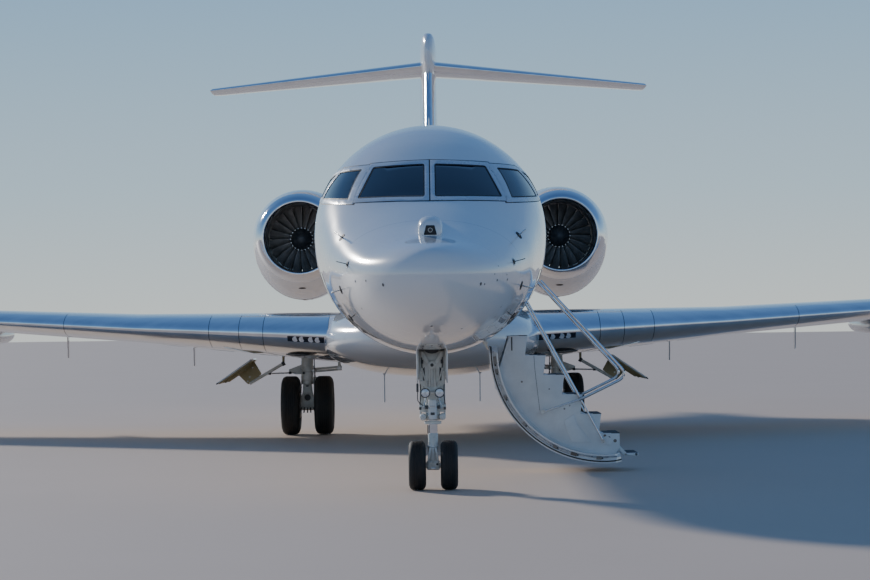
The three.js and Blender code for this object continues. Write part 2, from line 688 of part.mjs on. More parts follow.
function buildDoor() {
  const lugs = HINGE_PLACES.flatMap((y) => [y - HINGE_WIDTH - 1, y + HINGE_WIDTH + 1])
    .map((y) => hingeKnuckle(y, y + HINGE_WIDTH, LEAF_WEB));
  const pins = HINGE_PLACES.map((y) => hingeRod(y - HINGE_WIDTH, y + 2 * HINGE_WIDTH, HINGE_PIN, 12));
  const fixedWall = hull(HULL, COCKPIT_END, CABIN_END, -3).subtract(doorLeafSector());
  const hinge = joined(lugs).subtract(fixedWall);
  add('door_shell', moved(joined([doorLeaf(), hinge, ...pins]), intoDoor), whitePaint, doorGroup);

  const stringers = [-STRINGER_OUTSIDE, STRINGER_OUTSIDE - STRINGER_THICK].map((offset) => (
    prism(stairOutline(SEAM), 'xz', doorMiddle + offset, doorMiddle + offset + STRINGER_THICK)
  ));
  const inside = STRINGER_OUTSIDE - STRINGER_THICK / 2;
  const treads = Array.from({ length: STEP_COUNT }, (_, i) => {
    const [x, z] = TREAD_NOSE(i);
    return box([x - STEP_RUN - 12, doorMiddle - inside, z - 26], [x, doorMiddle + inside, z]);
  });
  const risers = Array.from({ length: STEP_COUNT - 1 }, (_, i) => {
    const [x, z] = TREAD_NOSE(i);
    return box([x - 14, doorMiddle - inside, z - STEP_RISE - 10], [x, doorMiddle + inside, z - 10]);
  });
  const bores = [...RAIL_PIVOTS, FOOT_PIVOT].map(([x, z, radius]) => {
    const around = (radius + SEAM) / Math.cos(Math.PI / 12);
    return rod([x, doorMiddle - 500, z], [x, doorMiddle + 500, z], around, around, 12);
  });
  const steps = without(joined([...stringers, ...treads, ...risers]), [...bores, lowered(doorLeaf(SEAM))]);
  add('airstair_steps', moved(steps, openIntoDoor), doorLining, doorGroup);

  const [pivotX, pivotZ, pivotRadius] = FOOT_PIVOT;
  const pinEnds = [-FOOT_HALF - 20, FOOT_HALF + 20].map((y) => [pivotX, doorMiddle + y, pivotZ]);
  const footPin = rod(...pinEnds, pivotRadius, pivotRadius, 6);
  const footPlate = prism(FOOT_PLATE, 'xz', doorMiddle - FOOT_HALF, doorMiddle + FOOT_HALF);
  const footArms = [-FOOT_HALF, FOOT_HALF - FOOT_ARM_THICK].map((offset) => (
    prism(FOOT_ARM, 'xz', doorMiddle + offset, doorMiddle + offset + FOOT_ARM_THICK)
  ));
  add('foot_step', moved(joined([footPin, footPlate, ...footArms]), openIntoDoor), doorLining, doorGroup);

  for (const [name, path, planes, [x, z, radius]] of [
    ['handrails', RAIL_PATH, [-400, 400], RAIL_PIVOTS[0]],
    ['handrail_braces', BRACE_PATH, [-358, 358], RAIL_PIVOTS[1]],
  ]) {
    const crossTube = rod([x, doorMiddle + planes[0], z], [x, doorMiddle + planes[1], z], radius, radius, 6);
    const sides = planes.map((offset) => joined(path.map(([from, to, thick]) => (
      rod([from[0], doorMiddle + offset, from[1]], [to[0], doorMiddle + offset, to[1]], thick, thick, 6)
    ))));
    add(name, moved(joined([crossTube, ...sides]), openIntoDoor), chrome, doorGroup);
  }
}

// Rails with the door lowered: two pivots on the stair sides, and the tubes that turn about them
const RAIL_PIVOTS = [[1300, 715, 14], [2010, 362, 11]];
const RAIL_PATH = [
  // from, to, radius
  [[1290, 2260], [2235, 1215], 17],
  [[2235, 1215], [2272, 1150], 17],
  [[2272, 1150], [2225, 1085], 17],
  [[2225, 1085], [1750, 860], 17],
  [[1750, 860], [1300, 715], 10],
];
const BRACE_PATH = [
  // from, to, radius
  [[1120, 2040], [1742, 872], 14],
  [[1742, 872], [2010, 362], 9],
];

// Folding step at the free end of the stairs: its pivot, plate and arms
const FOOT_PIVOT = [2178, 300, 10];
const FOOT_HALF = 296;
const FOOT_PLATE = [[2262, 212], [2430, 212], [2430, 178], [2262, 178]];
const FOOT_ARM = [[2163, 312], [2192, 318], [2285, 212], [2300, 178], [2262, 178], [2163, 282]];
const FOOT_ARM_THICK = 14;

// The door leaf swung down in the frame's own coordinates, to fit the stairs to it
function lowered(leaf) {
  const swing = new THREE.Matrix4().makeTranslation(DOOR_HINGE[0], doorMiddle, DOOR_HINGE[1])
    .multiply(new THREE.Matrix4().makeRotationY(degrees(DOOR_OPEN_ANGLE))).multiply(intoDoor);
  return moved(leaf, swing);
}

// Wing and its panels

function planTool(outline, edge = 0) {
  return prism(outline.map(([x, station]) => [x, alongY(station) + edge]), 'xy', -FAR, FAR);
}

// Fairing of the outer flap track
const CANOE_X = 7490;
const CANOE = [
  // station, half width, top, bottom, widest height, squareness
  [16150, 40, 1695, 1625, 1660, 2.0],
  [16350, 140, 1760, 1560, 1650, 2.0],
  [16900, 190, 1850, 1515, 1650, 2.0],
  [17900, 170, 1830, 1530, 1670, 2.0],
  [18900, 30, 1740, 1680, 1710, 2.0],
];

function buildWing() {
  const whole = loft(WING.map(([x]) => wingFoil(x).ring)).subtract(wholeHull);

  const slatBack = [[SLAT_IN, 11900], [4600, 13268 + 520], [SLAT_OUT, 19326 + 190]];
  const slatPlan = [[SLAT_IN, 9000], [SLAT_OUT, 9000], ...slatBack.slice().reverse()];
  const slat = without(whole.intersect(planTool(slatPlan)), [wholeFairing]);
  const slatCut = planTool(slatPlan.map(([x, station]) => [x + (x === SLAT_OUT ? SEAM : 0), station]), SEAM);

  const hingeLine = (x) => {
    const { lead, chord } = wingFoil(x);
    return lead + FLAP_FRACTION * chord;
  };
  const flapPlan = (from, to) => [
    [from, hingeLine(from)], [from, 2 * FAR], [to, 2 * FAR], [to, hingeLine(to)],
  ];
  const flapIn = without(whole.intersect(planTool(flapPlan(1500, FLAP_SPLIT - SEAM / 2))), [wholeFairing]);
  const flapOut = whole.intersect(planTool(flapPlan(FLAP_SPLIT + SEAM / 2, FLAP_OUT)));
  const flapCut = planTool(flapPlan(1500, FLAP_SPLIT), -SEAM)
    .add(planTool(flapPlan(FLAP_SPLIT, FLAP_OUT + SEAM), -SEAM));

  const sections = [AILERON_IN, AILERON_OUT].map(wingFoil);
  const { surface: aileron, body } = splitSurface(whole, sections, AILERON_FRACTION, UP);
  const inner = box([-FAR, alongY(9000), -FAR], [SLAT_IN, FAR, FAR]);
  const fixed = without(body, [slatCut, flapCut]).subtract(inner.intersect(slatCut));
  const trackBlades = [3950, 6200].map((x) => {
    const under = wingFoil(x);
    const start = under.lead + 0.62 * under.chord;
    const z = under.place(0.62, 0).z;
    const plan = [[start + 300, z], [start + 480, z], [start + 450, z - 560], [start + 370, z - 560]];
    return prism(plan.map(([station, height]) => [alongY(station), height]), 'yz', x - 12, x + 12);
  });
  const flapRoom = [[0, 0, 0], [0, 0, -SEAM], [0, -SEAM, 0]].map((shift) => (
    moved(flapOut, new THREE.Matrix4().makeTranslation(...shift))
  ));
  const canoePlace = new THREE.Matrix4().makeTranslation(CANOE_X, 0, 0);
  const canoe = moved(hull(CANOE, CANOE[0][0], CANOE.at(-1)[0], 0, 10), canoePlace);
  const blades = trackBlades.map((blade) => blade.subtract(flapCut));
  const wing = joined([fixed, ...blades, without(canoe, flapRoom)]);
  addPair('wing', wing, whitePaint);
  addPair('slat', slat, polishedMetal);
  addPair('flap_inboard', flapIn, whitePaint);
  addPair('flap_outboard', flapOut, whitePaint);
  addPair('aileron', aileron, whitePaint);
}

// The wing as its neighbours are cut to it: carried past the middle, and a seam thicker all round
function wingFit() {
  return loft([-1, ...WING.slice(1).map(([x]) => x)].map((x) => wingFoil(x).ring.map((point, i, ring) => {
    const ends = { 0: SEAM, [CHORD_POINTS]: -SEAM, [ring.length - 1]: SEAM };
    return point.clone().add(new THREE.Vector3(0, ends[i] ?? 0, Math.sign(CHORD_POINTS - i) * SEAM));
  })));
}

function buildWinglet() {
  const tipZ = WING_Z + WING_SLOPE * 13550;
  const stations = [
    // distance out, leading edge station, chord, height above the wing tip, cant
    [13550 + SEAM, 19500, 1330, 0, 0],
    [13820, 19740, 1150, 70, 28],
    [14040, 20080, 960, 340, 62],
    [14300, 21000, 470, 1480, 77],
  ];
  addPair('winglet', loft(stations.map(([x, lead, chord, rise, cant]) => (
    foil({ x, lead, chord, ratio: 0.1, z: tipZ + rise, cant, twist: -1.5 }).ring
  ))), whiteComposite);
}

// Thin masts below the belly, from [y, z] corners
const MAST_X = 722;
const MAST = [[-2600, 1100], [-2530, 590], [-2470, 590], [-2430, 1100]];

function buildFairing(wing) {
  const masts = [-MAST_X, MAST_X].map((x) => prism(MAST, 'yz', x - 9, x + 9));
  const fairing = without(hull(FAIRING, 9300, 19600), [wholeHull, wing, mirrored(wing)]);
  add('belly_fairing', joined([fairing, ...masts]), whiteComposite);
}

// Tail

function buildTail() {
  const bulletFit = hull(BULLET, 24500, 29700, -SEAM);
  const finBox = loft([3690, 6500].map((height) => {
    const { lead, chord, ratio } = finFoil(height);
    return hollowRing({ x: 0, z: height, lead, chord, ratio, cant: 90 });
  }));
  const fin = loft(FIN.map(([height]) => finFoil(height).ring)).subtract(finBox);
  const rudderCut = splitSurface(fin, RUDDER_Z.map(finFoil), RUDDER_FRACTION, SIDEWAYS);
  add('fin', without(rudderCut.body, [wholeHull, bulletFit]), whitePaint);
  add('rudder', rudderCut.surface, whiteComposite);
  add('fin_bullet', hull(BULLET, 24500, 29700), whiteComposite);

  const tailBox = loft([0, 4400].map((x) => {
    const z = TAILPLANE_Z + TAILPLANE_SLOPE * x;
    return hollowRing({ ...tailFoil(x), x, z, twist: TAILPLANE_TILT });
  }));
  const half = loft(TAILPLANE.map(([x]) => tailFoil(x).ring)).subtract(tailBox);
  const elevatorCut = splitSurface(half, ELEVATOR_X.map(tailFoil), ELEVATOR_FRACTION, UP);
  addPair('tailplane', without(elevatorCut.body, [bulletFit]), whitePaint);
  addPair('elevator', elevatorCut.surface, whiteComposite);
}

// Engines, each drawn about its own axis with its lip at zero

const COWL = [
  // radius, distance back, how much deeper the lower half is than round, as a share
  [815, 260, 0],
  [890, 700, 0.12],
  [940, 1300, 0.19],
  [930, 2300, 0.2],
  [800, 3500, 0.12],
  [615, 4500, 0],
];
const DUCT = [[590, 4500], [DUCT_RADIUS, 1900], [DUCT_RADIUS, 1100], [622, 1010], [622, 800], [615, 260]];
const LIP = [[815, 260], [778, 140], [720, 35], [660, 0], [632, 45], [615, 260]];

// Solid within a cowl's outside, grown by a gap
function solidCowl(gap) {
  return loft(COWL.map(([radius, back, deeper]) => Array.from({ length: ENGINE_SEGMENTS }, (_, i) => {
    const angle = (i / ENGINE_SEGMENTS) * 2 * Math.PI;
    const reach = radius + gap;
    const up = reach * Math.sin(angle);
    return new THREE.Vector3(reach * Math.cos(angle), back, up < 0 ? up * (1 + deeper) : up);
  })));
}

function buildEngines() {
  const lip = turned([...LIP, LIP[0]], ENGINE_SEGMENTS);
  const [[, cowlStart]] = COWL;
  const duct = turned([[0, 4500], ...DUCT, [0, cowlStart]], ENGINE_SEGMENTS);
  const lipPlace = box([-1000, 0, -1000], [1000, cowlStart + SEAM, 1000]);
  const cowl = without(solidCowl(0), [duct, lipPlace]);

  const spinner = turned([
    [0, 600], [45, 612], [150, 730], [215, 850], [215, 1010], [SHAFT_BORE, 1010], [SHAFT_BORE, 955], [0, 955],
  ], FAN_BLADES / 2);
  const bladeTurn = (2 * Math.PI) / FAN_BLADES;
  const blades = Array.from({ length: FAN_BLADES }, (_, i) => fanBlade((i + 0.5) * bladeTurn));
  const fan = joined([spinner, ...blades]);

  const body = turned([
    [0, 960], [SHAFT_RADIUS, 960], [SHAFT_RADIUS, 1030], [370, 1040],
    [430, 2000], [340, 3400], [60, 4200], [0, 4200],
  ], 16);
  const struts = Array.from({ length: 8 }, (_, i) => {
    const turn = new THREE.Matrix4().makeRotationY((i / 8) * 2 * Math.PI);
    return moved(box([300, 1180, -14], [DUCT_RADIUS + 20, 1420, 14]), turn);
  });
  const boreRadius = DUCT_RADIUS - SEAM;
  const bore = turned([[0, 1100], [boreRadius, 1100], [boreRadius, 1900], [0, 1900]], ENGINE_SEGMENTS);
  const core = joined([body, ...struts.map((strut) => strut.intersect(bore))]);

  for (const [side, sign] of [['port', 1], ['starboard', -1]]) {
    const engine = new THREE.Group();
    engine.position.set(sign * ENGINE_X, alongY(ENGINE_STATION), ENGINE_Z);
    jet.add(engine);
    add(`nacelle_lip_${side}`, lip, polishedMetal, engine);
    add(`nacelle_${side}`, cowl, whiteComposite, engine);
    add(`fan_${side}`, fan, fanMetal, engine);
    add(`engine_core_${side}`, core, coreMetal, engine);
  }

  const place = new THREE.Matrix4().makeTranslation(ENGINE_X, alongY(ENGINE_STATION), ENGINE_Z);
  const slab = loft([700, 1800].map((x) => {
    const section = foil({ x, lead: 20150, chord: 3300, ratio: 0.1, z: ENGINE_Z - 20, camber: 0 });
    return section.ring;
  }));
  addPair('pylon', without(slab, [wholeHull, moved(solidCowl(SEAM), place)]), whitePaint);
}

// One fan blade: a twisted plate between the spinner and the tip
function fanBlade(angle) {
  const rings = [
    // radius, chord, pitch from the axis, thickness
    [170, 150, 28, 16],
    [Math.sqrt(FAN_RADIUS ** 2 - 95 ** 2), 190, 56, 6],
  ].map(([radius, chord, pitch, thick]) => {
    const along = new THREE.Vector3(Math.sin(degrees(pitch)), Math.cos(degrees(pitch)), 0);
    const across = new THREE.Vector3(along.y, -along.x, 0);
    return [[-1, -1], [1, -1], [1, 1], [-1, 1]].map(([a, b]) => {
      const middle = new THREE.Vector3(0, FAN_MIDDLE, radius);
      return middle.addScaledVector(along, (a * chord) / 2).addScaledVector(across, (b * thick) / 2);
    });
  });
  return moved(loft(rings), new THREE.Matrix4().makeRotationY(angle));
}

// Landing gear

// Tyre about the X axis, standing on a flat of its tread
function tyre({ radius, width, rim }) {
  const half = width / 2;
  const bulge = rim + (radius - rim) * 0.45;
  const profile = [
    [rim, -half * 0.72], [bulge, -half], [radius - 12, -half * 0.62], [radius, -half * 0.3],
    [radius, half * 0.3], [radius - 12, half * 0.62], [bulge, half], [rim, half * 0.72],
  ];
  return moved(turned([...profile, profile[0]], TYRE_SEGMENTS), ontoX);
}

// Both rims of a gear leg and the axle between them
function wheelPair({ width, rim, offset }, axleRadius) {
  const half = width / 2;
  const fit = rim * Math.cos(Math.PI / TYRE_SEGMENTS) - SEAM;
  const disc = (side) => [
    [0, -half * 0.3], [fit * 0.6, -half * 0.2], [fit, -half * 0.7], [fit, half * 0.7],
    [fit * 0.75, half * 0.2], [fit * 0.35, half * 0.35], [0, half * 0.6],
  ].map(([r, y]) => [r, side * y + side * offset]);
  const rims = [-1, 1].map((side) => turned(disc(side), RIM_SEGMENTS));
  const axle = rod([0, -offset, 0], [0, offset, 0], axleRadius, axleRadius, 12);
  return moved(joined([axle, ...rims]), ontoX);
}

const flatDrop = (radius) => radius * Math.cos(Math.PI / TYRE_SEGMENTS);

// Cutter for the bearing that an axle turns in
function axleBore(reach, height, axleRadius) {
  const radius = (axleRadius + 0.5) / Math.cos(Math.PI / 12);
  return rod([-reach, 0, height], [reach, 0, height], radius, radius, 12);
}

function addWheels(name, parent, size, axleRadius) {
  const wheels = new THREE.Group();
  wheels.position.z = flatDrop(size.radius);
  wheels.rotation.x = Math.PI / TYRE_SEGMENTS;
  parent.add(wheels);
  add(`${name}_wheel_hubs`, wheelPair(size, axleRadius), rimMetal, wheels);
  for (const [side, sign] of [['left', 1], ['right', -1]]) {
    add(`${name}_tyre_${side}`, tyre(size), rubber, wheels).position.x = sign * size.offset;
  }
}

const NOSE_AXLE = 30;
const MAIN_AXLE = 52;
const MAIN_HOUSING = 98;

function buildNoseGear() {
  const gear = new THREE.Group();
  gear.position.y = alongY(NOSE_GEAR_STATION);
  jet.add(gear);
  const axleZ = flatDrop(NOSE_TYRE.radius);

  const housing = rod([0, 0, 745], [0, 0, 1880], 78, 78, 12);
  const trunnion = rod([-NOSE_BAY.halfWidth + SEAM, 0, 1500], [NOSE_BAY.halfWidth - SEAM, 0, 1500], 48);
  const frontPlate = prism([
    [-140, 1480], [140, 1480], [135, 1130], [60, 1080], [-60, 1080], [-135, 1130],
  ], 'xz', -96, -60);
  const plateHoles = [[-90, -58], [58, 90]].map(([a, b]) => box([a, -120, 1180], [b, 0, 1330]));
  const collar = prism([[-145, 985], [145, 985], [140, 760], [-140, 760]], 'xz', -85, 85);
  const lampBar = box([-120, -140, 1020], [120, -60, 1052]);
  const lamps = [-76, 76].map((x) => rod([x, -190, 1036], [x, -110, 1036], 50, 40, 12));
  const sideDoors = [-1, 1].map((side) => {
    const faces = [side * 150, side * 166].sort((a, b) => a - b);
    return box([faces[0], -330, 1140], [faces[1], 340, 1600]);
  });
  const doorLinks = rod([-155, 30, 1230], [155, 30, 1230], 16);
  const dragBrace = [-60, 60].map((x) => rod([x, 40, 1260], [x, 340, 1700], 24));
  const whole = joined([
    housing, trunnion, frontPlate, collar, lampBar, ...lamps, ...sideDoors, doorLinks, ...dragBrace,
  ]);
  const ontoGear = new THREE.Matrix4().makeTranslation(0, -gear.position.y, 0);
  const skin = moved(hull(HULL, RADOME_END, COCKPIT_END, -SEAM), ontoGear);
  const bay = box([-NOSE_BAY.halfWidth + SEAM, -500, 1200], [NOSE_BAY.halfWidth - SEAM, 350, NOSE_BAY.top]);
  const leg = whole.subtract(skin.subtract(bay)).subtract(box([-40, -60, 600], [40, 60, 700]));
  add('nose_leg', without(leg, [rod([0, 0, 700], [0, 0, 900], 51.1, 51.1, 18)]), gearPaint, gear);

  const piston = rod([0, 0, axleZ], [0, 0, 880], 50, 50, 12);
  const sleeve = rod([-72, 0, axleZ], [72, 0, axleZ], 46, 46, 12);
  const links = prism([
    [30, axleZ + 10], [175, 480], [205, 500], [195, 530], [60, 735], [40, 700], [155, 505], [20, axleZ + 60],
  ], 'yz', -44, 44);
  const steeringRing = rod([0, 0, 700], [0, 0, 735], 92, 92, 12);
  const fork = joined([piston, sleeve, links, steeringRing]);
  add('nose_fork', fork.subtract(axleBore(100, axleZ, NOSE_AXLE)), gearPaint, gear);
  addWheels('nose', gear, NOSE_TYRE, NOSE_AXLE);
}

// One main leg at the origin of its own group, port side outwards
function mainLeg() {
  const axleZ = flatDrop(MAIN_TYRE.radius);
  const housing = rod([0, 0, 860], [0, 0, 1700], MAIN_HOUSING, MAIN_HOUSING, 10);
  const gland = rod([0, 0, 820], [0, 0, 880], 108, 108, 10);
  const piston = rod([0, 0, axleZ], [0, 0, 900], 66, 66, 10);
  const shoe = prism([
    [-100, axleZ - 70], [-100, axleZ + 95], [-62, 700], [62, 700], [100, axleZ + 95], [100, axleZ - 70],
  ], 'xz', -80, 80);
  const arch = rod([0, -200, 640], [0, 200, 640], 40);
  const sleeve = rod([-108, 0, axleZ], [108, 0, axleZ], 84, 84, 10);
  const links = prism([
    [40, axleZ + 20], [235, 680], [270, 700], [260, 735], [80, 960], [60, 925], [215, 705], [30, axleZ + 80],
  ], 'yz', -44, 44);
  const sideStays = [-45, 45].map((y) => rod([-60, y, 1040], [-560, y * 0.4, 1075], 17));
  const stayFoot = rod([-520, 0, 1073], [-520, 0, 1500], 26);
  const leg = joined([housing, gland, piston, shoe.subtract(arch), sleeve, links, ...sideStays, stayFoot]);
  return leg.subtract(axleBore(200, axleZ, MAIN_AXLE));
}

// Leg door under the wing, outboard of the leg: skin, mounting plate, beam and link
function mainDoor() {
  const skin = prism([[1425, 842], [1440, 862], [880, 1245], [862, 1225]], 'xz', -520, 520);
  const plate = prism([[870, 1228], [1070, 1090], [1110, 980], [955, 824], [735, 995]], 'xz', -150, -120);
  const beam = rod([930, -135, 842], [380, -135, 1160], 26, 26, 8);
  const link = rod([610, -135, 1000], [97, -20, 1010], 13, 13, 8);
  const arm = rod([380, -135, 1160], [380, -135, 1500], 20, 20, 8);
  return joined([skin, plate, beam, link, arm]);
}

function buildMainGear(wing) {
  const place = new THREE.Matrix4().makeTranslation(MAIN_GEAR_X, alongY(MAIN_GEAR_STATION), 0);
  const above = moved(wing, new THREE.Matrix4().makeTranslation(0, 0, 250));
  const tools = [wing, above, wholeFairing, box([-FAR, -FAR, 1720], [FAR, FAR, 3000])];
  const leg = without(moved(mainLeg(), place), tools);
  const legRoom = moved(rod([0, 0, 0], [0, 0, 2000], MAIN_HOUSING + SEAM, MAIN_HOUSING + SEAM, 12), place);
  const door = without(moved(mainDoor(), place), [...tools, legRoom]);
  addPair('main_leg', leg, gearPaint);
  addPair('main_gear_door', door, primer);
  for (const [side, sign] of [['port', 1], ['starboard', -1]]) {
    const gear = new THREE.Group();
    gear.position.set(sign * MAIN_GEAR_X, alongY(MAIN_GEAR_STATION), 0);
    jet.add(gear);
    addWheels(`main_${side}`, gear, MAIN_TYRE, MAIN_AXLE);
  }
}

buildRadome();
buildCockpit();
buildCabin();
buildRearFuselage();
buildInterior();
buildDoor();
buildWing();
const wing = wingFit();
buildWinglet();
buildFairing(wing);
buildTail();
buildEngines();
buildNoseGear();
buildMainGear(wing);

export default jet;
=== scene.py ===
"""A long-range twin-engine business jet, parked on its gear with the airstair lowered.

Metres, +Z up, nose towards -Y, port side towards +X. A station is a distance behind the nose tip.
"""
from math import cos, pi, radians, sin, sqrt

import bpy
from mathutils import Matrix, Vector


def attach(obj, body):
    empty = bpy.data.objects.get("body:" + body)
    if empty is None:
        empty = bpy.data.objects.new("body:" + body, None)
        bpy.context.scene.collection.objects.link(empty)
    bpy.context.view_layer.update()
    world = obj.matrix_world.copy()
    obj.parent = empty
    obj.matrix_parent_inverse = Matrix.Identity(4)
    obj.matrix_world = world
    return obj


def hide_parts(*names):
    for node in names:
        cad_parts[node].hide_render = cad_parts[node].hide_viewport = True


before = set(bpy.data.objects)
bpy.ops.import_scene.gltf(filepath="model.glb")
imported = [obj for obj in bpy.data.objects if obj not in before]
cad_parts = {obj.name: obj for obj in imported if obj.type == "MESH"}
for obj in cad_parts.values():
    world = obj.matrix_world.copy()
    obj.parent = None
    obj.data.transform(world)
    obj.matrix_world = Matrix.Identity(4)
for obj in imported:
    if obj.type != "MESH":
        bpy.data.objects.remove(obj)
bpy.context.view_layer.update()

LENGTH = 30.3


def along(station):
    return station - LENGTH / 2


# Finishes


def finish(name, colour, roughness, metallic=0.0, **sockets):
    """A material with its plain values on the shader's own sockets."""
    look = bpy.data.materials.new(name)
    look.use_nodes = True
    shader = look.node_tree.nodes["Principled BSDF"]
    shader.inputs["Base Color"].default_value = (*colour, 1)
    shader.inputs["Roughness"].default_value = roughness
    shader.inputs["Metallic"].default_value = metallic
    for socket, value in sockets.items():
        shader.inputs[socket.replace("_", " ")].default_value = value
    return look


def node(look, kind, **values):
    made = look.node_tree.nodes.new("ShaderNode" + kind)
    for key, value in values.items():
        if key in made.inputs:
            made.inputs[key].default_value = value
        else:
            setattr(made, key, value)
    return made


def wire(look, source, target):
    look.node_tree.links.new(source, target)


def coordinates(look, stretch=(1, 1, 1)):
    """The piece's own coordinates, stretched."""
    mapping = node(look, "Mapping")
    mapping.inputs["Scale"].default_value = stretch
    wire(look, node(look, "TexCoord").outputs["Object"], mapping.inputs["Vector"])
    return mapping.outputs["Vector"]


def clouded(look, scale, colours, roughness, stretch=(1, 1, 1)):
    """Cloudy change between two colours and two roughnesses over the surface."""
    shader = look.node_tree.nodes["Principled BSDF"]
    noise = node(look, "TexNoise", Scale=scale, Detail=6.0, Roughness=0.6)
    wire(look, coordinates(look, stretch), noise.inputs["Vector"])
    ramp = node(look, "ValToRGB")
    for stop, place, colour in zip(ramp.color_ramp.elements, (0.35, 0.65), colours):
        stop.position = place
        stop.color = (*colour, 1)
    wire(look, noise.outputs["Fac"], ramp.inputs["Fac"])
    wire(look, ramp.outputs["Color"], shader.inputs["Base Color"])
    spread = node(look, "MapRange")
    for key, value in zip(("From Min", "From Max", "To Min", "To Max"), (0.3, 0.7, *roughness)):
        spread.inputs[key].default_value = value
    wire(look, noise.outputs["Fac"], spread.inputs["Value"])
    wire(look, spread.outputs["Result"], shader.inputs["Roughness"])
    return look


def bumped(look, scale, strength, distance=0.002, kind="TexNoise"):
    """A fine relief over the surface."""
    shader = look.node_tree.nodes["Principled BSDF"]
    pattern = node(look, kind, Scale=scale)
    wire(look, coordinates(look), pattern.inputs["Vector"])
    bump = node(look, "Bump", Strength=strength, Distance=distance)
    wire(look, pattern.outputs["Distance" if kind == "TexVoronoi" else "Fac"], bump.inputs["Height"])
    wire(look, bump.outputs["Normal"], shader.inputs["Normal"])
    return look


def jointed(look, axis, pitch, width, shade):
    """Fine dark joints between panels, a pitch apart along one axis."""
    shader = look.node_tree.nodes["Principled BSDF"]
    parts = node(look, "SeparateXYZ")
    wire(look, coordinates(look), parts.inputs["Vector"])
    near = node(look, "Math", operation="PINGPONG")
    near.inputs[1].default_value = pitch / 2
    wire(look, parts.outputs[axis], near.inputs[0])
    line = node(look, "Math", operation="LESS_THAN")
    line.inputs[1].default_value = width / 2
    wire(look, near.outputs["Value"], line.inputs[0])
    under = shader.inputs["Base Color"].links[0].from_socket
    mix = node(look, "Mix", data_type="RGBA")
    wire(look, line.outputs["Value"], mix.inputs["Factor"])
    wire(look, under, mix.inputs[6])
    mix.inputs[7].default_value = (*shade, 1)
    wire(look, mix.outputs[2], shader.inputs["Base Color"])
    return look


PAINT_LIGHT = (0.78, 0.79, 0.80)
PAINT_DARK = (0.74, 0.75, 0.765)
JOINT_GREY = (0.52, 0.53, 0.55)
# axis, pitch and width of the joints between the panels
HULL_JOINTS = ("Y", 1.53, 0.008)
WING_JOINTS = ("X", 1.42, 0.007)


def gloss_paint(name, joints=None):
    look = finish(name, PAINT_LIGHT, 0.2, Coat_Weight=1.0, Coat_Roughness=0.02, Coat_IOR=1.75)
    clouded(look, 0.35, (PAINT_DARK, PAINT_LIGHT), (0.16, 0.26))
    bumped(look, 3.0, 0.05, 0.004)
    if joints:
        jointed(look, *joints, JOINT_GREY)
    return look


def worn(name, colour, roughness, clouds, relief=None, metallic=0.0, **sockets):
    """A finish with clouds (scale, two colours, two roughnesses) and with relief (scale, strength)."""
    look = clouded(finish(name, colour, roughness, metallic, **sockets), *clouds)
    return bumped(look, *relief) if relief else look


skin_paint = gloss_paint("white skin paint")
hull_paint = gloss_paint("white hull paint", HULL_JOINTS)
wing_paint = gloss_paint("white wing paint", WING_JOINTS)
seal_black = worn(
    "black sealant", (0.02, 0.02, 0.02), 0.6,
    (9, ((0.016, 0.016, 0.017), (0.035, 0.034, 0.033)), (0.5, 0.7)), (60, 0.3),
)
frame_grey = worn(
    "window frame paint", (0.6, 0.62, 0.65), 0.28,
    (2, ((0.58, 0.60, 0.63), (0.66, 0.68, 0.71)), (0.2, 0.32)), (40, 0.1), metallic=0.35, Coat_Weight=0.3,
)
polished = worn(
    "polished aluminium", (0.8, 0.82, 0.85), 0.08,
    (1.2, ((0.74, 0.77, 0.81), (0.86, 0.88, 0.91)), (0.05, 0.13), (1, 3, 3)), (5, 0.05, 0.003), metallic=1.0,
)
chromed = worn(
    "chromed tube", (0.72, 0.74, 0.77), 0.06, (8, ((0.62, 0.64, 0.67), (0.78, 0.8, 0.83)), (0.04, 0.1)),
    metallic=1.0,
)
glass = worn(
    "tinted glass", (0.05, 0.06, 0.08), 0.04,
    (0.8, ((0.004, 0.006, 0.016), (0.010, 0.014, 0.030)), (0.02, 0.05)), (1.5, 0.03), Coat_Weight=0.25,
    Coat_Roughness=0.01, Transmission_Weight=0.12, IOR=1.45,
)
rubber = worn(
    "tyre rubber", (0.02, 0.02, 0.021), 0.75,
    (6, ((0.013, 0.013, 0.014), (0.034, 0.032, 0.03)), (0.6, 0.85)), (90, 0.4),
)
gear_white = worn(
    "gear enamel", (0.72, 0.73, 0.7), 0.3, (7, ((0.58, 0.58, 0.54), (0.78, 0.79, 0.76)), (0.25, 0.45)),
    (45, 0.12), Coat_Weight=0.4, Coat_Roughness=0.1,
)
steel = worn(
    "bare steel", (0.5, 0.5, 0.5), 0.3, (20, ((0.38, 0.38, 0.39), (0.62, 0.62, 0.62)), (0.2, 0.42)),
    (80, 0.15), metallic=1.0,
)
rim_metal = worn(
    "wheel alloy", (0.6, 0.61, 0.62), 0.35, (12, ((0.42, 0.43, 0.44), (0.68, 0.69, 0.7)), (0.25, 0.5)),
    (70, 0.2), metallic=0.8,
)
fan_metal = worn(
    "fan titanium", (0.34, 0.32, 0.3), 0.38, (5, ((0.27, 0.25, 0.23), (0.42, 0.39, 0.36)), (0.3, 0.48)),
    metallic=0.3,
)
core_metal = worn(
    "heat tinted metal", (0.25, 0.24, 0.23), 0.4,
    (3, ((0.15, 0.13, 0.12), (0.36, 0.35, 0.34)), (0.3, 0.55)), (30, 0.2), metallic=0.9,
)
liner = worn(
    "duct liner", (0.12, 0.115, 0.11), 0.45, (4, ((0.08, 0.076, 0.072), (0.17, 0.16, 0.15)), (0.35, 0.55)),
    (120, 0.5, 0.002, "TexVoronoi"), metallic=0.4,
)
khaki = worn(
    "primer", (0.42, 0.36, 0.19), 0.55, (4, ((0.32, 0.27, 0.13), (0.47, 0.41, 0.24)), (0.45, 0.7)),
    (50, 0.2),
)
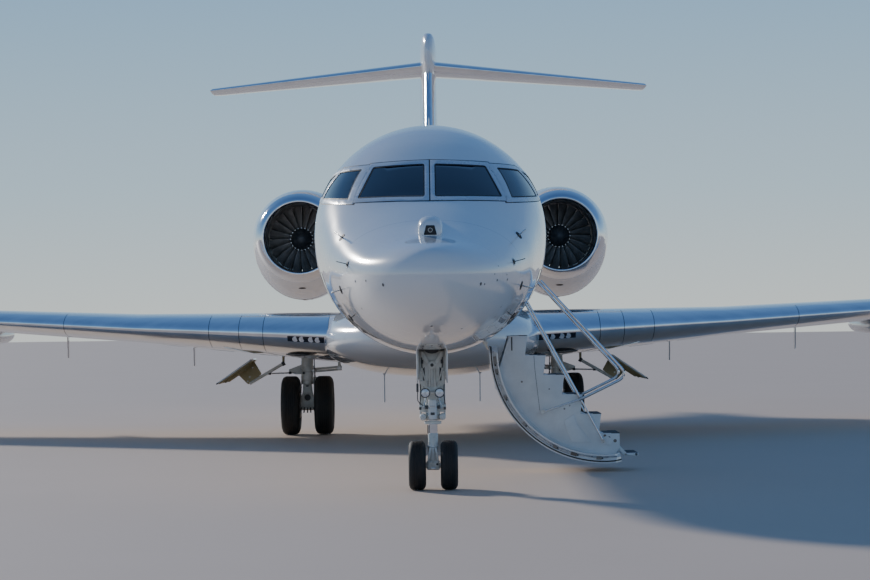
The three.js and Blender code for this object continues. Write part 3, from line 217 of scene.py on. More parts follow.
lining = worn(
    "door lining enamel", (0.74, 0.76, 0.76), 0.4, (3, ((0.66, 0.68, 0.68), (0.78, 0.8, 0.8)), (0.3, 0.5)),
    (40, 0.12), Coat_Weight=0.2,
)
grip = worn(
    "tread grip", (0.06, 0.06, 0.065), 0.8, (12, ((0.04, 0.04, 0.045), (0.1, 0.1, 0.105)), (0.7, 0.9)),
    (250, 0.7),
)
trim = worn(
    "cabin trim cloth", (0.48, 0.43, 0.36), 0.7, (8, ((0.4, 0.36, 0.3), (0.52, 0.47, 0.4)), (0.6, 0.8)),
    (200, 0.3),
)
leather = worn(
    "seat leather", (0.2, 0.16, 0.12), 0.5, (6, ((0.14, 0.11, 0.085), (0.25, 0.2, 0.155)), (0.4, 0.6)),
    (160, 0.4, 0.002, "TexVoronoi"),
)
plastic = worn(
    "panel plastic", (0.05, 0.052, 0.055), 0.5,
    (10, ((0.035, 0.037, 0.04), (0.08, 0.082, 0.085)), (0.4, 0.6)), (180, 0.25),
)
lamp_glass = worn(
    "lamp glass", (0.75, 0.77, 0.8), 0.05, (25, ((0.6, 0.63, 0.68), (0.9, 0.91, 0.93)), (0.03, 0.12)),
    (60, 0.5, 0.002, "TexVoronoi"), metallic=0.3, Coat_Weight=1.0,
)
red_lens = worn(
    "red lens", (0.5, 0.01, 0.01), 0.08, (20, ((0.35, 0.005, 0.005), (0.6, 0.02, 0.02)), (0.05, 0.15)),
    Coat_Weight=1.0,
)
green_lens = worn(
    "green lens", (0.01, 0.35, 0.1), 0.08, (20, ((0.005, 0.25, 0.07), (0.02, 0.45, 0.14)), (0.05, 0.15)),
    Coat_Weight=1.0,
)


# Ways of shaping


def only(*objects):
    bpy.ops.object.select_all(action="DESELECT")
    for obj in objects:
        obj.select_set(True)
    bpy.context.view_layer.objects.active = objects[0]


def merge():
    bpy.ops.mesh.remove_doubles(threshold=1e-5)


def fill():
    bpy.ops.mesh.fill_holes(sides=0)


def outward():
    bpy.ops.mesh.select_all(action="SELECT")
    bpy.ops.mesh.normals_make_consistent(inside=False)


def edited(obj, *steps):
    """Takes edit-mode steps on all of an object."""
    only(obj)
    bpy.ops.object.mode_set(mode="EDIT")
    bpy.ops.mesh.select_all(action="SELECT")
    for step in steps:
        step()
    bpy.ops.object.mode_set(mode="OBJECT")
    return obj


def modified(obj, kind, **values):
    """Adds a modifier and applies it."""
    only(obj)
    modifier = obj.modifiers.new(kind.lower(), kind)
    for key, value in values.items():
        setattr(modifier, key, value)
    bpy.ops.object.modifier_apply(modifier=modifier.name)
    return obj


def eased(obj, width, segments=2, angle=35):
    return modified(
        obj, "BEVEL", width=width, segments=segments, limit_method="ANGLE", angle_limit=radians(angle),
    )


def cut(obj, *tools, operation="DIFFERENCE"):
    """Takes each tool out of an object, or keeps what lies inside it, and removes the tool."""
    for tool in tools:
        modified(obj, "BOOLEAN", object=tool, operation=operation, solver="EXACT")
        bpy.data.objects.remove(tool)
    return obj


def skin(rings, look, looped=False):
    """A grid of faces wrapped round rings of points. Its ends are filled unless it is looped."""
    rows = [*rings, rings[0]] if looped else rings
    bpy.ops.mesh.primitive_grid_add(x_subdivisions=len(rows[0]), y_subdivisions=len(rows) - 1)
    obj = bpy.context.object
    points = [value for ring in rows for point in (*ring, ring[0]) for value in point]
    obj.data.vertices.foreach_set("co", points)
    obj.data.materials.append(look)
    return edited(obj, merge, fill, outward)


def turned(profile, look, middle=(0, 0, 0), axis="Y", steps=64, looped=True):
    """A profile of (radius, distance) points turned about an axis through a point."""
    def ring(radius, distance):
        for i in range(steps):
            a, b = radius * cos(2 * pi * i / steps), radius * sin(2 * pi * i / steps)
            spot = {"X": (distance, a, b), "Y": (a, distance, b), "Z": (a, b, distance)}[axis]
            yield Vector(middle) + Vector(spot)
    return skin([list(ring(*point)) for point in profile], look, looped)


def prism(outline, plane, low, high, look=None, corner=0.0):
    """An outline in one plane with its corners rounded, extruded between two depths."""
    place = {
        "xz": lambda a, b, d: (a, d, b), "yz": lambda a, b, d: (d, a, b), "xy": lambda a, b, d: (a, b, d),
    }[plane]
    mesh = bpy.data.meshes.new("prism")
    mesh.from_pydata([place(a, b, low) for a, b in outline], [], [range(len(outline))])
    obj = bpy.data.objects.new("prism", mesh)
    bpy.context.scene.collection.objects.link(obj)
    if look:
        mesh.materials.append(look)

    def rounded():
        if corner:
            bpy.ops.mesh.bevel(offset=corner, segments=5, affect="VERTICES")

    def raised():
        bpy.ops.mesh.extrude_region_move(TRANSFORM_OT_translate={"value": place(0, 0, high - low)})
    return edited(obj, rounded, raised, outward)


def block(low, high, look=None):
    return prism(
        [(low[0], low[2]), (high[0], low[2]), (high[0], high[2]), (low[0], high[2])], "xz", low[1], high[1],
        look,
    )


def bar(low, high, look, *edge):
    """A block whose edges are eased."""
    return eased(block(low, high, look), *edge)


def plate(outline, low, high, look, edge, corner=0.0):
    """An outline seen from ahead as a plate whose edges are eased."""
    return eased(prism(outline, "xz", low, high, look, corner), edge)


def moved(obj, *offset):
    obj.data.transform(Matrix.Translation(offset))
    return obj


def bent(points, reach):
    """A path with its corners rounded, each from a reach before it to a reach after it."""
    points = [Vector(point) for point in points]
    path = [points[0]]
    for before, corner, after in zip(points, points[1:], points[2:]):
        start, end = (corner + (side - corner).normalized() * reach for side in (before, after))
        for t in spaced(0, 1, 7):
            path.append(start.lerp(corner, t).lerp(corner.lerp(end, t), t))
    return [*path, points[-1]]


def spaced(start, end, count):
    return [start + (end - start) * i / (count - 1) for i in range(count)]


def rod(start, end, radius, look, end_radius=None, sides=24):
    """A round bar or cone between two points."""
    start, end = Vector(start), Vector(end)
    reach = end - start
    bpy.ops.mesh.primitive_cone_add(
        vertices=sides, radius1=radius, radius2=radius if end_radius is None else end_radius,
        depth=reach.length, location=(start + end) / 2, rotation=reach.to_track_quat("Z", "Y").to_euler(),
    )
    obj = bpy.context.object
    obj.data.materials.append(look)
    bpy.ops.object.transform_apply(location=True, rotation=True, scale=True)
    return obj


def tube(points, radius, look, curved=True, sides=3, closed=False):
    """A round tube along points, on a smooth curve near them or straight from one to the next."""
    curve = bpy.data.curves.new("tube", "CURVE")
    curve.dimensions = "3D"
    curve.bevel_depth = radius
    curve.bevel_resolution = sides
    curve.use_fill_caps = True
    spline = curve.splines.new("NURBS" if curved else "POLY")
    spline.points.add(len(points) - 1)
    for spot, point in zip(spline.points, points):
        spot.co = (*point, 1)
    spline.use_cyclic_u = closed
    if curved:
        spline.order_u = 3
        spline.use_endpoint_u = not closed
        spline.resolution_u = 6
    obj = bpy.data.objects.new("tube", curve)
    bpy.context.scene.collection.objects.link(obj)
    only(obj)
    bpy.ops.object.convert(target="MESH")
    obj = bpy.context.object
    obj.data.materials.clear()
    obj.data.materials.append(look)
    return obj


SEAM_RADIUS = 0.0022
SEAM_RISE = 0.0004


def seam(points, radius=SEAM_RADIUS, closed=True):
    """A fine dark line along points."""
    return tube(points, radius, seal_black, False, 1, closed)


def joined(parts):
    only(*parts)
    if len(parts) > 1:
        bpy.ops.object.join()
    return bpy.context.object


def twin(obj):
    """A copy on the other side of the middle, with its own mesh."""
    other = obj.copy()
    other.data = obj.data.copy()
    bpy.context.scene.collection.objects.link(other)
    other.data.transform(Matrix.Scale(-1, 4, (1, 0, 0)))
    other.data.flip_normals()
    return other


def flipped(obj):
    """An object brought over to the other side of the middle."""
    other = twin(obj)
    bpy.data.objects.remove(obj)
    return other


def piece(name, parts, body, slot, *nodes, ease=0.0, angle=35):
    """Parts joined as one named piece on a body, which stands for the nodes that it replaces."""
    obj = joined(parts if isinstance(parts, list) else [parts])
    if ease:
        eased(obj, ease)
    obj.name = obj.data.name = name
    only(obj)
    bpy.ops.object.shade_smooth_by_angle(angle=radians(angle))
    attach(obj, body)
    if nodes:
        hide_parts(*nodes)
    return obj


def pair(name, parts, body, slot, *nodes, ease=0.0, angle=35):
    """A port piece and its mirror image. A body or node that ends in _port has its own on each side."""
    port = joined(parts if isinstance(parts, list) else [parts])
    if ease:
        eased(port, ease)
    for obj, side in ((port, "port"), (twin(port), "starboard")):
        other = [word.replace("_port", "_" + side) for word in (body, *nodes)]
        piece(f"{name}_{side}", obj, other[0], slot, *other[1:], angle=angle)


# Tables


def stretch_of(table, where):
    """The row at the end of the stretch a place is in, and how far along the stretch the place is."""
    last = len(table) - 1
    i = next((k for k in range(1, last) if table[k][0] >= where), last)
    return i, (where - table[i - 1][0]) / (table[i][0] - table[i - 1][0])


def straight_row(table, where):
    """A row of a table at any place, on straight lines through its rows."""
    i, t = stretch_of(table, where)
    return [a + (b - a) * t for a, b in zip(table[i - 1], table[i])]


def smooth_row(table, where):
    """A row of a table at any place, on curves through its rows that never overshoot them."""
    last = len(table) - 1
    i, t = stretch_of(table, where)
    t = min(1.0, max(0.0, t))

    def slope(k, column):
        steps = [
            (table[b][column] - table[a][column]) / (table[b][0] - table[a][0])
            for a, b in ((k - 1, k), (k, k + 1)) if a >= 0 and b <= last
        ]
        if len(steps) == 1:
            return steps[0]
        return 0.0 if steps[0] * steps[1] <= 0 else 2 * steps[0] * steps[1] / (steps[0] + steps[1])
    span = table[i][0] - table[i - 1][0]

    def value(column):
        a, b = table[i - 1][column], table[i][column]
        bend = t * (1 - t) * (
            (1 - t) * (slope(i - 1, column) * span - (b - a)) + t * ((b - a) - slope(i, column) * span)
        )
        return a + (b - a) * t + bend
    return [where, *[value(column) for column in range(1, len(table[0]))]]


# Hull

# station, half width, top, bottom, widest height, squareness of the upper half
HULL = [
    (0.0, 0.0, 2.250, 2.250, 2.250, 2.0),
    (0.09, 0.250, 2.470, 2.010, 2.255, 2.0),
    (0.3, 0.450, 2.545, 1.830, 2.265, 2.0),
    (0.7, 0.680, 2.622, 1.670, 2.290, 2.0),
    (1.2, 0.870, 2.765, 1.560, 2.330, 2.1),
    (1.75, 1.010, 2.965, 1.502, 2.400, 2.2),
    (2.0, 1.070, 3.060, 1.480, 2.430, 2.3),
    (2.5, 1.155, 3.320, 1.450, 2.530, 2.3),
    (3.0, 1.230, 3.565, 1.430, 2.620, 2.3),
    (3.6, 1.290, 3.830, 1.420, 2.700, 2.2),
    (4.2, 1.330, 4.005, 1.412, 2.740, 2.1),
    (4.9, 1.345, 4.100, 1.410, 2.755, 2.0),
    (17.8, 1.345, 4.100, 1.410, 2.755, 2.0),
    (20.0, 1.290, 4.100, 1.610, 2.850, 2.0),
    (22.5, 1.080, 4.075, 2.110, 3.080, 2.0),
    (25.0, 0.750, 3.985, 2.720, 3.340, 2.0),
    (27.2, 0.400, 3.800, 3.230, 3.510, 2.0),
    (28.5, 0.190, 3.640, 3.380, 3.510, 2.0),
]
RADOME_END = 0.78
COCKPIT_END = 4.75
CABIN_END = 18.2
TAIL_END = 28.5
CABIN_RADIUS = 1.345
CABIN_AXIS = 2.755
HULL_POINTS = 112


def oval(row, out=0.0, count=HULL_POINTS):
    """An oval section of a table's row, grown all round by a distance."""
    station, half, top, bottom, widest, square = row
    ring = []
    for i in range(count):
        angle = 2 * pi * i / count
        power = 2 / (square if sin(angle) >= 0 else 2)
        aside = abs(cos(angle)) ** power * (1 if cos(angle) >= 0 else -1)
        up = abs(sin(angle)) ** power
        reach = top + out - widest if sin(angle) >= 0 else bottom - out - widest
        ring.append(Vector(((half + out) * aside, along(station), widest + reach * up)))
    return ring


def hull_row(station):
    """The hull's section, eased towards the nose by the root of the station."""
    row = smooth_row([(sqrt(place), *rest) for place, *rest in HULL], sqrt(station))
    return [station, *row[1:]]


def hull_rings(start, end, out=0.0, step=0.05):
    count = max(3, int((sqrt(end) - sqrt(start)) / step) + 2)
    return [oval(hull_row(root * root), out) for root in spaced(sqrt(start), sqrt(end), count)]


def hull_shell(start, end, outer, inner, look, step=0.05):
    """The hull's wall between two distances from its surface, inwards negative."""
    return skin(
        hull_rings(start, end, outer, step) + hull_rings(start, end, inner, step)[::-1], look, looped=True,
    )


def hull_side(station, z, out=0.0):
    """The point of the port side of the hull at a station and height."""
    _, half, top, bottom, widest, square = hull_row(station)
    reach = top - widest if z > widest else widest - bottom
    power = square if z > widest else 2
    share = max(0.0, 1 - min(1.0, abs(z - widest) / reach) ** power) ** (1 / power)
    return Vector((half * share + out, along(station), z))


def hull_front(x, z):
    """The point of the nose's port side straight behind a point seen from ahead."""
    near, far = 0.0, 4.9
    for _ in range(24):
        middle = (near + far) / 2
        if hull_side(middle, z).x > x and hull_row(middle)[2] > z > hull_row(middle)[3]:
            far = middle
        else:
            near = middle
    return Vector((x, along(far), z))


# Cockpit windows: the front pane seen from ahead, the two side panes seen from the side
FRONT_PANE = [(0.053, 3.108), (0.777, 3.112), (0.615, 3.492), (0.053, 3.512)]
SIDE_PANES = [
    [(2.51, 3.108), (3.10, 3.475), (3.60, 3.48), (3.59, 3.176)],
    [(3.705, 3.19), (3.715, 3.48), (4.14, 3.43), (4.2, 3.23)],
]


def grown(outline, edge):
    """An outline with each side moved out by a distance."""
    corners = [Vector(corner) for corner in outline]
    turn = sum(a.x * b.y - b.x * a.y for a, b in zip(corners, corners[1:] + corners[:1]))
    result = []
    for i, corner in enumerate(corners):
        sides = [
            (corner - corners[i - 1]).normalized(), (corners[(i + 1) % len(corners)] - corner).normalized(),
        ]
        out = [Vector((side.y, -side.x)) * (1 if turn > 0 else -1) for side in sides]
        shift = edge / (1 + out[0].dot(out[1]))
        result.append(corner + (out[0] + out[1]) * shift)
    return [tuple(corner) for corner in result]


PANE_CORNER = 0.024


def pane_tools(edge):
    """The three port panes as prisms through the hull, grown by an edge. Wide ones keep sharp corners."""
    radius = max(0.004, PANE_CORNER + edge) if edge < 0.012 else 0.006
    front = prism(grown(FRONT_PANE, edge), "xz", along(1.7), along(3.5), corner=radius)
    sides = [
        prism([(along(station), z) for station, z in grown(outline, edge)], "yz", 0.5, 2.0, corner=radius)
        for outline in SIDE_PANES
    ]
    return [front, *sides]


def window_layer(outer, inner, outside, inside, look):
    """A ring or a pane of each port cockpit window: a layer of the hull between two outlines."""
    parts = []
    holes = pane_tools(inside) if inside is not None else [None] * 3
    for tool, hole in zip(pane_tools(outside), holes):
        part = cut(hull_shell(1.75, 4.5, outer, inner, look), tool, operation="INTERSECT")
        parts.append(cut(part, hole) if hole else part)
    return parts


WINDOW_COUNT = 14
WINDOW_FIRST = 6.45
WINDOW_PITCH = 0.79
WINDOW_Z = 3.0
WINDOW_HALF = (0.160, 0.215)


def window_outline(middle, edge, count=28):
    """A rounded upright window, seen from the side."""
    def bulge(value):
        return abs(value) ** 0.55 * (1 if value >= 0 else -1)
    return [
        (along(middle) + (WINDOW_HALF[0] + edge) * bulge(cos(2 * pi * i / count)),
         WINDOW_Z + (WINDOW_HALF[1] + edge) * bulge(sin(2 * pi * i / count)))
        for i in range(count)
    ]


def window_tools(edge, low, high):
    stations = [WINDOW_FIRST + i * WINDOW_PITCH for i in range(WINDOW_COUNT)]
    return joined([prism(window_outline(station, edge), "yz", low, high) for station in stations])


# Doorway: a sector of the cabin's wall, in degrees from straight down, with round corners
DOOR_FROM = 4.9
DOOR_TO = 5.81
DOOR_ANGLES = (29.0, 130.0)
DOOR_OPEN = 121.0
DOOR_HINGE = (0.640, 1.530)
DOOR_MIDDLE = along((DOOR_FROM + DOOR_TO) / 2)
# radii between which the tools of the doorway reach
DOOR_REACH = (0.9, 1.5)


def door_point(radius, angle, y):
    """A point on the closed door, or on the wall in line with it."""
    return Vector((radius * sin(angle), y, CABIN_AXIS - radius * cos(angle)))


def door_sector(edge, corner):
    """A tool that takes the doorway out of the wall, or the door out of the wall."""
    turn = edge / CABIN_RADIUS
    angles = spaced(radians(DOOR_ANGLES[0]) - turn, radians(DOOR_ANGLES[1]) + turn, 33)
    rings = []
    reach = (DOOR_TO - DOOR_FROM) / 2 + edge
    low, high = DOOR_REACH
    for angle in angles:
        inside = min(angle - angles[0], angles[-1] - angle) * CABIN_RADIUS
        short = corner - sqrt(max(0.0, corner ** 2 - (corner - min(inside, corner)) ** 2))
        ys = (DOOR_MIDDLE - reach + short, DOOR_MIDDLE + reach - short)
        corners = ((low, ys[0]), (high, ys[0]), (high, ys[1]), (low, ys[1]))
        rings.append([door_point(radius, angle, y) for radius, y in corners])
    return skin(rings, seal_black)


def swung(obj):
    """Turns a piece drawn on the closed door down about its sill hinge."""
    pivot = Matrix.Translation((DOOR_HINGE[0], 0, DOOR_HINGE[1]))
    obj.data.transform(pivot @ Matrix.Rotation(radians(DOOR_OPEN), 4, "Y") @ pivot.inverted())
    return obj


# lowest and highest corner of the opening over the nose leg
NOSE_BAY = ((-0.15, along(1.78), 1.2), (0.15, along(2.76), 1.95))


def make_hull():
    piece(
        "radome", skin(hull_rings(0, RADOME_END - 0.0015, step=0.02), skin_paint), "airframe",
        "white_composite", "radome",
    )
    shell = hull_shell(RADOME_END, COCKPIT_END - 0.002, 0, -0.09, hull_paint, 0.03)
    windows = pane_tools(0.02)
    cut(shell, block(*NOSE_BAY), *[twin(tool) for tool in windows], *windows)
    piece("cockpit_skin", shell, "airframe", "white_paint", "cockpit_shell")
    pair("window_sealant", window_layer(0.0015, -0.03, 0.055, 0.015, seal_black), "airframe", "panel_plastic")
    pair(
        "window_frames", window_layer(0.004, -0.03, 0.046, 0.0, frame_grey), "airframe", "polished_metal",
        ease=0.0015,
    )
    pair("window_gaskets", window_layer(0.0, -0.04, 0.001, -0.014, seal_black), "airframe", "panel_plastic")
    pair("cockpit_glass", window_layer(-0.004, -0.03, -0.006, None, glass), "airframe", "dark_glass")
    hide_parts("windshield")

    cabin = hull_shell(COCKPIT_END + 0.002, CABIN_END - 0.002, 0, -0.1, hull_paint)
    cut(cabin, door_sector(0, 0.11), window_tools(0, -2, 2))
    piece("cabin_skin", cabin, "airframe", "white_paint", "cabin_shell")
    tail = hull_shell(CABIN_END + 0.002, TAIL_END, 0, -0.035, hull_paint)
    piece("rear_skin", tail, "airframe", "white_paint", "rear_shell")

    span = (WINDOW_FIRST - 0.3, WINDOW_FIRST + (WINDOW_COUNT - 1) * WINDOW_PITCH + 0.3)
    frames = cut(
        hull_shell(*span, 0.0015, -0.05, frame_grey), window_tools(0.022, 0.5, 2), operation="INTERSECT",
    )
    cut(frames, window_tools(-0.012, 0.5, 2))
    pair("cabin_window_frames", frames, "airframe", "polished_metal")
    panes = cut(hull_shell(*span, -0.012, -0.04, glass), window_tools(-0.004, 0.5, 2), operation="INTERSECT")
    pair("cabin_window_glass", panes, "airframe", "dark_glass", "cabin_windows_port")


# Belly fairing around the wing root

# station, half width, top, bottom, widest height, squareness
FAIRING = [
    (9.3, 0.500, 1.900, 1.395, 1.560, 2.2),
    (9.45, 0.72, 1.93, 1.34, 1.555, 2.25),
    (9.9, 1.080, 1.960, 1.240, 1.540, 2.3),
    (10.9, 1.500, 2.050, 1.080, 1.520, 2.5),
    (12.2, 1.660, 2.160, 0.985, 1.510, 2.6),
    (16.4, 1.650, 2.160, 0.980, 1.510, 2.6),
    (18.2, 1.350, 2.060, 1.120, 1.560, 2.5),
    (19.6, 0.700, 1.950, 1.420, 1.640, 2.3),
]


# distance out and half thickness of the masts under the belly and of their feet
MAST_X = 0.722
MAST_HALF = 0.009
MAST_FOOT_HALF = 0.025
# y and height
MAST = [(-2.60, 1.1), (-2.53, 0.59), (-2.47, 0.59), (-2.43, 1.1)]
MAST_FOOT = [(-2.64, 1.015), (-2.39, 1.05)]


def make_fairing():
    rows = [smooth_row(FAIRING, station) for station in spaced(FAIRING[0][0], FAIRING[-1][0], 60)]
    shell = skin([oval(row, count=96) for row in rows], hull_paint)
    masts = []
    for x in (-MAST_X, MAST_X):
        masts.append(eased(prism(MAST, "yz", x - MAST_HALF, x + MAST_HALF, skin_paint), 0.006))
        (low_y, low_z), (high_y, high_z) = MAST_FOOT
        foot = block((x - MAST_FOOT_HALF, low_y, low_z), (x + MAST_FOOT_HALF, high_y, high_z), skin_paint)
        masts.append(eased(foot, 0.008))
    piece("belly_skin", [shell, *masts], "airframe", "white_composite", "belly_fairing")


# Wings and tail surfaces

CAMBER = 0.012
# distance out, leading edge station, chord, thickness ratio, twist
WING = [
    (0.0, 10.06, 7.3, 0.12, 3.0), (1.2, 10.9, 6.45, 0.12, 3.0), (4.6, 13.268, 3.98, 0.115, 1.6),
    (13.55, 19.5, 1.33, 0.1, -1.5),
]
WING_ROOT = 0.9
WING_Z = 1.45
WING_SLOPE = 0.06
# height, leading edge station, chord, thickness ratio
FIN = [(3.7, 21.7, 5.15, 0.085), (6.93, 24.73, 3.29, 0.1)]
# distance out, leading edge station, chord, thickness ratio
TAILPLANE = [(0.0, 25.15, 3.15, 0.09), (4.865, 28.7, 1.6, 0.085)]
TAILPLANE_Z = 7.157
TAILPLANE_SLOPE = -0.0236
TAILPLANE_TILT = -1.6


def half_thickness(share, ratio):
    """Half thickness of the usual four-digit section, as a share of its chord."""
    tail = sum(factor * share ** (i + 1) for i, factor in enumerate((-0.126, -0.3516, 0.2843, -0.1015)))
    return 5 * ratio * (0.2969 * sqrt(share) + tail)


def foil_at(x, lead, z, chord, ratio, twist=0.0, cant=0.0, camber=CAMBER):
    """Places a point of an aerofoil by its share of the chord, and 1 above to -1 below."""
    def at(share, side, swell=1.0, lift=0.0):
        back = (share - 0.25) * chord
        rise = (side * swell * half_thickness(share, ratio) + camber * 4 * share * (1 - share)) * chord + lift
        up = rise * cos(radians(twist)) - back * sin(radians(twist))
        aft = lead + 0.25 * chord + back * cos(radians(twist)) + rise * sin(radians(twist))
        return Vector((x - up * sin(radians(cant)), along(aft), z + up * cos(radians(cant))))
    return at


def surface(table, foil_of):
    """Places a point of a lofted surface by its place along the span, share of chord and side."""
    def at(where, share, side, swell=1.0, lift=0.0):
        i, t = stretch_of(table, where)
        ends = [foil_of(table[k])(share, side, swell, lift) for k in (i - 1, i)]
        return ends[0].lerp(ends[1], t)
    return at


wing_at = surface(WING, lambda row: foil_at(row[0], row[1], WING_Z + WING_SLOPE * row[0], *row[2:]))
tail_at = surface(TAILPLANE, lambda row: foil_at(
    row[0], row[1], TAILPLANE_Z + TAILPLANE_SLOPE * row[0], *row[2:], TAILPLANE_TILT, camber=0))
fin_at = surface(FIN, lambda row: foil_at(0, row[1], row[0], *row[2:], cant=90, camber=0))

ROUND = 8


def round_edge(at, where, share, depth, swell):
    """Points of a half round from the upper to the lower side at a share of the chord, bulging forwards."""
    if not depth:
        return []
    top, low = at(where, share, 1, swell), at(where, share, -1, swell)
    centre, up = (top + low) / 2, (top - low) / 2
    ahead = (at(where, share - 0.01, 0) - at(where, share, 0)).normalized() * depth
    return [centre + up * cos(pi * i / ROUND) + ahead * sin(pi * i / ROUND) for i in range(1, ROUND)]


def panel_ring(at, where, front, back, nose=0.0, cove=0.0, swell=1.0, trim=0.0, count=18):
    """Section of a panel between two shares of the chord, over the top from its back and under it again.

    A nose is a round front, and a cove a hollow back, each as deep as its own size. A trim draws the back in
    along the span.
    """
    shares = [front + (back - front) * (1 - cos(pi / 2 * i / (count - 1))) for i in range(count)]
    spots = [(where - trim * (share - front) / (back - front), share) for share in shares]
    upper, lower = ([at(place, share, side, swell) for place, share in spots] for side in (1, -1))
    tip, hollow = round_edge(at, where, front, nose, swell), round_edge(at, where, back, cove, swell)
    return upper[::-1] + tip + lower + hollow[::-1]


def panel(at, rows, look):
    """A panel through (place along the span, front share, back share, kind) rows."""
    return skin([panel_ring(at, *row[:3], **(row[3] if len(row) > 3 else {})) for row in rows], look)


def round_tip(rows, reach):
    """Rows that close a surface's tip with a half round."""
    where, front, back, *kind = rows[-1]
    kind = kind[0] if kind else {}
    extra = [
        (where - reach + reach * t, front, back, {**kind, "swell": sqrt(1 - t * t)})
        for t in (0.4, 0.7, 0.9, 0.98, 1.0)
    ]
    return [*rows[:-1], (where - reach, front, back, kind), *extra]


# gap beside a slat or flap, thickness of a notch's end, and the plain back of a fixed surface
GAP = 0.004
STEP = 0.0015
FLAT = {"cove": 0.0001}
WING_TIP = WING[-1][0]
# distance out and station of the slats' back edge
SLAT_IN, SLAT_OUT = 1.5, 13.3
SLAT_BACK = [(1.5, 11.9), (4.6, 13.788), (13.3, 19.516)]
SLAT_JOINTS = (1.5, 2.5, 2.88, 3.36, 5.82, 9.6, 13.3)
FLAP_SHARE = 0.77
FLAP_SPLIT, FLAP_OUT = 4.65, 9.7
AILERON_SHARE = 0.74
AILERON_IN, AILERON_OUT = 10.05, 13.15
# clearance at both ends of a control surface, and the trim of its outer end
AILERON_ENDS = (0.020, 0.010)


# distances out, share of the chord, half thickness, and the outline of the blades under the wing
BLADE_PLACES = (3.95, 6.2)
BLADE_SHARE = 0.62
BLADE_HALF = 0.011
BLADE = [(0.3, 0), (0.48, 0), (0.45, -0.56), (0.37, -0.56)]


def slat_share(x, edge=0.0):
    i = 1 if x < SLAT_BACK[1][0] else 2
    (x0, s0), (x1, s1) = SLAT_BACK[i - 1], SLAT_BACK[i]
    _, lead, chord, *_ = straight_row(WING, x)
    return (s0 + (s1 - s0) * (x - x0) / (x1 - x0) + edge - lead) / chord


def hinge_depth(at, where, share):
    return (at(where, share, 1) - at(where, share, -1)).length / 2


def hinged(at, ends, share, clearance, trim, look):
    """A control surface from its round nose on the hinge line to the trailing edge, with a trimmed end."""
    rows = []
    for where in spaced(ends[0] + clearance, ends[1] - clearance, 8):
        rows.append((where, share, 1.0, {"nose": hinge_depth(at, where, share) * 0.85}))
    rows[-1][3]["trim"] = trim
    return panel(at, rows, look)


def cove_rows(at, ends, front, share):
    """Rows of a fixed surface ahead of a control surface."""
    return [
        (where, front(where), share - 0.01, {"cove": hinge_depth(at, where, share) * 0.85 + 0.012})
        for where in spaced(*ends, 8)
    ]


def make_wing():
    def front(x):
        return slat_share(x, GAP)

    rows = [(WING_ROOT, 0, 1, FLAT), (SLAT_IN - STEP, 0, 1, FLAT)]
    rows += [(x, front(x), FLAP_SHARE - GAP / 2, FLAT) for x in (SLAT_IN, 3.0, 4.6, 6.4, 8.0, FLAP_OUT)]
    rows += [(x, front(x), 1, FLAT) for x in (FLAP_OUT + STEP, AILERON_IN - STEP)]
    rows += cove_rows(wing_at, (AILERON_IN, AILERON_OUT), front, AILERON_SHARE)
    rows += [(x, front(x), 1, FLAT) for x in (AILERON_OUT + STEP, SLAT_OUT)]
    rows += [(x, 0, 1, FLAT) for x in (SLAT_OUT + STEP, WING_TIP)]
    main = panel(wing_at, rows, wing_paint)
    blades = []
    for x in BLADE_PLACES:
        top = wing_at(x, BLADE_SHARE, 0)
        outline = [(top.y + aft, top.z + rise) for aft, rise in BLADE]
        blades.append(eased(prism(outline, "yz", x - BLADE_HALF, x + BLADE_HALF, skin_paint), 0.006))
    canoe_rows = [smooth_row(CANOE, station) for station in spaced(CANOE[0][0], CANOE[-1][0], 24)]
    canoe = skin(
        [[point + Vector((CANOE_X, 0, 0)) for point in oval(row, count=32)] for row in canoe_rows],
        skin_paint,
    )
    pair("wing_skin", [main, *blades, canoe], "airframe", "white_paint", "wing_port", angle=30)

    slats = []
    for start, end in zip(SLAT_JOINTS, SLAT_JOINTS[1:]):
        places = (start + GAP, (start + end) / 2, end - GAP)
        slats.append(panel(wing_at, [(x, 0, slat_share(x, -GAP)) for x in places], polished))
    pair("slats", slats, "airframe", "polished_metal", "slat_port", angle=30)
    for name, start, end in (("inboard", 1.5, FLAP_SPLIT), ("outboard", FLAP_SPLIT, FLAP_OUT)):
        rows = [(x, FLAP_SHARE + GAP / 2, 1) for x in spaced(start + GAP, end - GAP, 6)]
        pair(
            f"flap_{name}_skin", panel(wing_at, rows, wing_paint), "airframe", "white_paint",
            f"flap_{name}_port", angle=30,
        )
    aileron = hinged(wing_at, (AILERON_IN, AILERON_OUT), AILERON_SHARE, *AILERON_ENDS, wing_paint)
    pair("aileron_skin", aileron, "aileron_port", "white_paint", "aileron_port", angle=30)
    make_winglet()
    make_wing_seams()
    make_landing_lamps()
    make_wicks()
    make_position_lights()


# inner and outer distance out of each spoiler, between the same two shares of the chord
SPOILERS = [(2.2, 3.3), (3.35, 4.58), (4.7, 6.4), (6.45, 8.1), (8.15, 9.6)]
SPOILER_SHARES = (0.63, 0.765)


def wing_seam(rows, side):
    """A fine dark line through (distance out, share of the chord) rows, on the upper or lower side."""
    return seam([wing_at(x, share, side, lift=side * SEAM_RISE) for x, share in rows])


WICK_LENGTH = 0.15
# name, surface, distances out, body
WICKS = [
    ("wing_wicks", wing_at, (13.4,), "airframe"),
    ("aileron_wicks", wing_at, (10.4, 11.1, 11.8, 12.5, 13.05), "aileron_port"),
    ("elevator_wicks", tail_at, (2.4, 3.0, 3.6, 4.2), "elevator_port"),
]
LANDING_LAMPS = (1.66, 1.76, 1.90, 2.00)


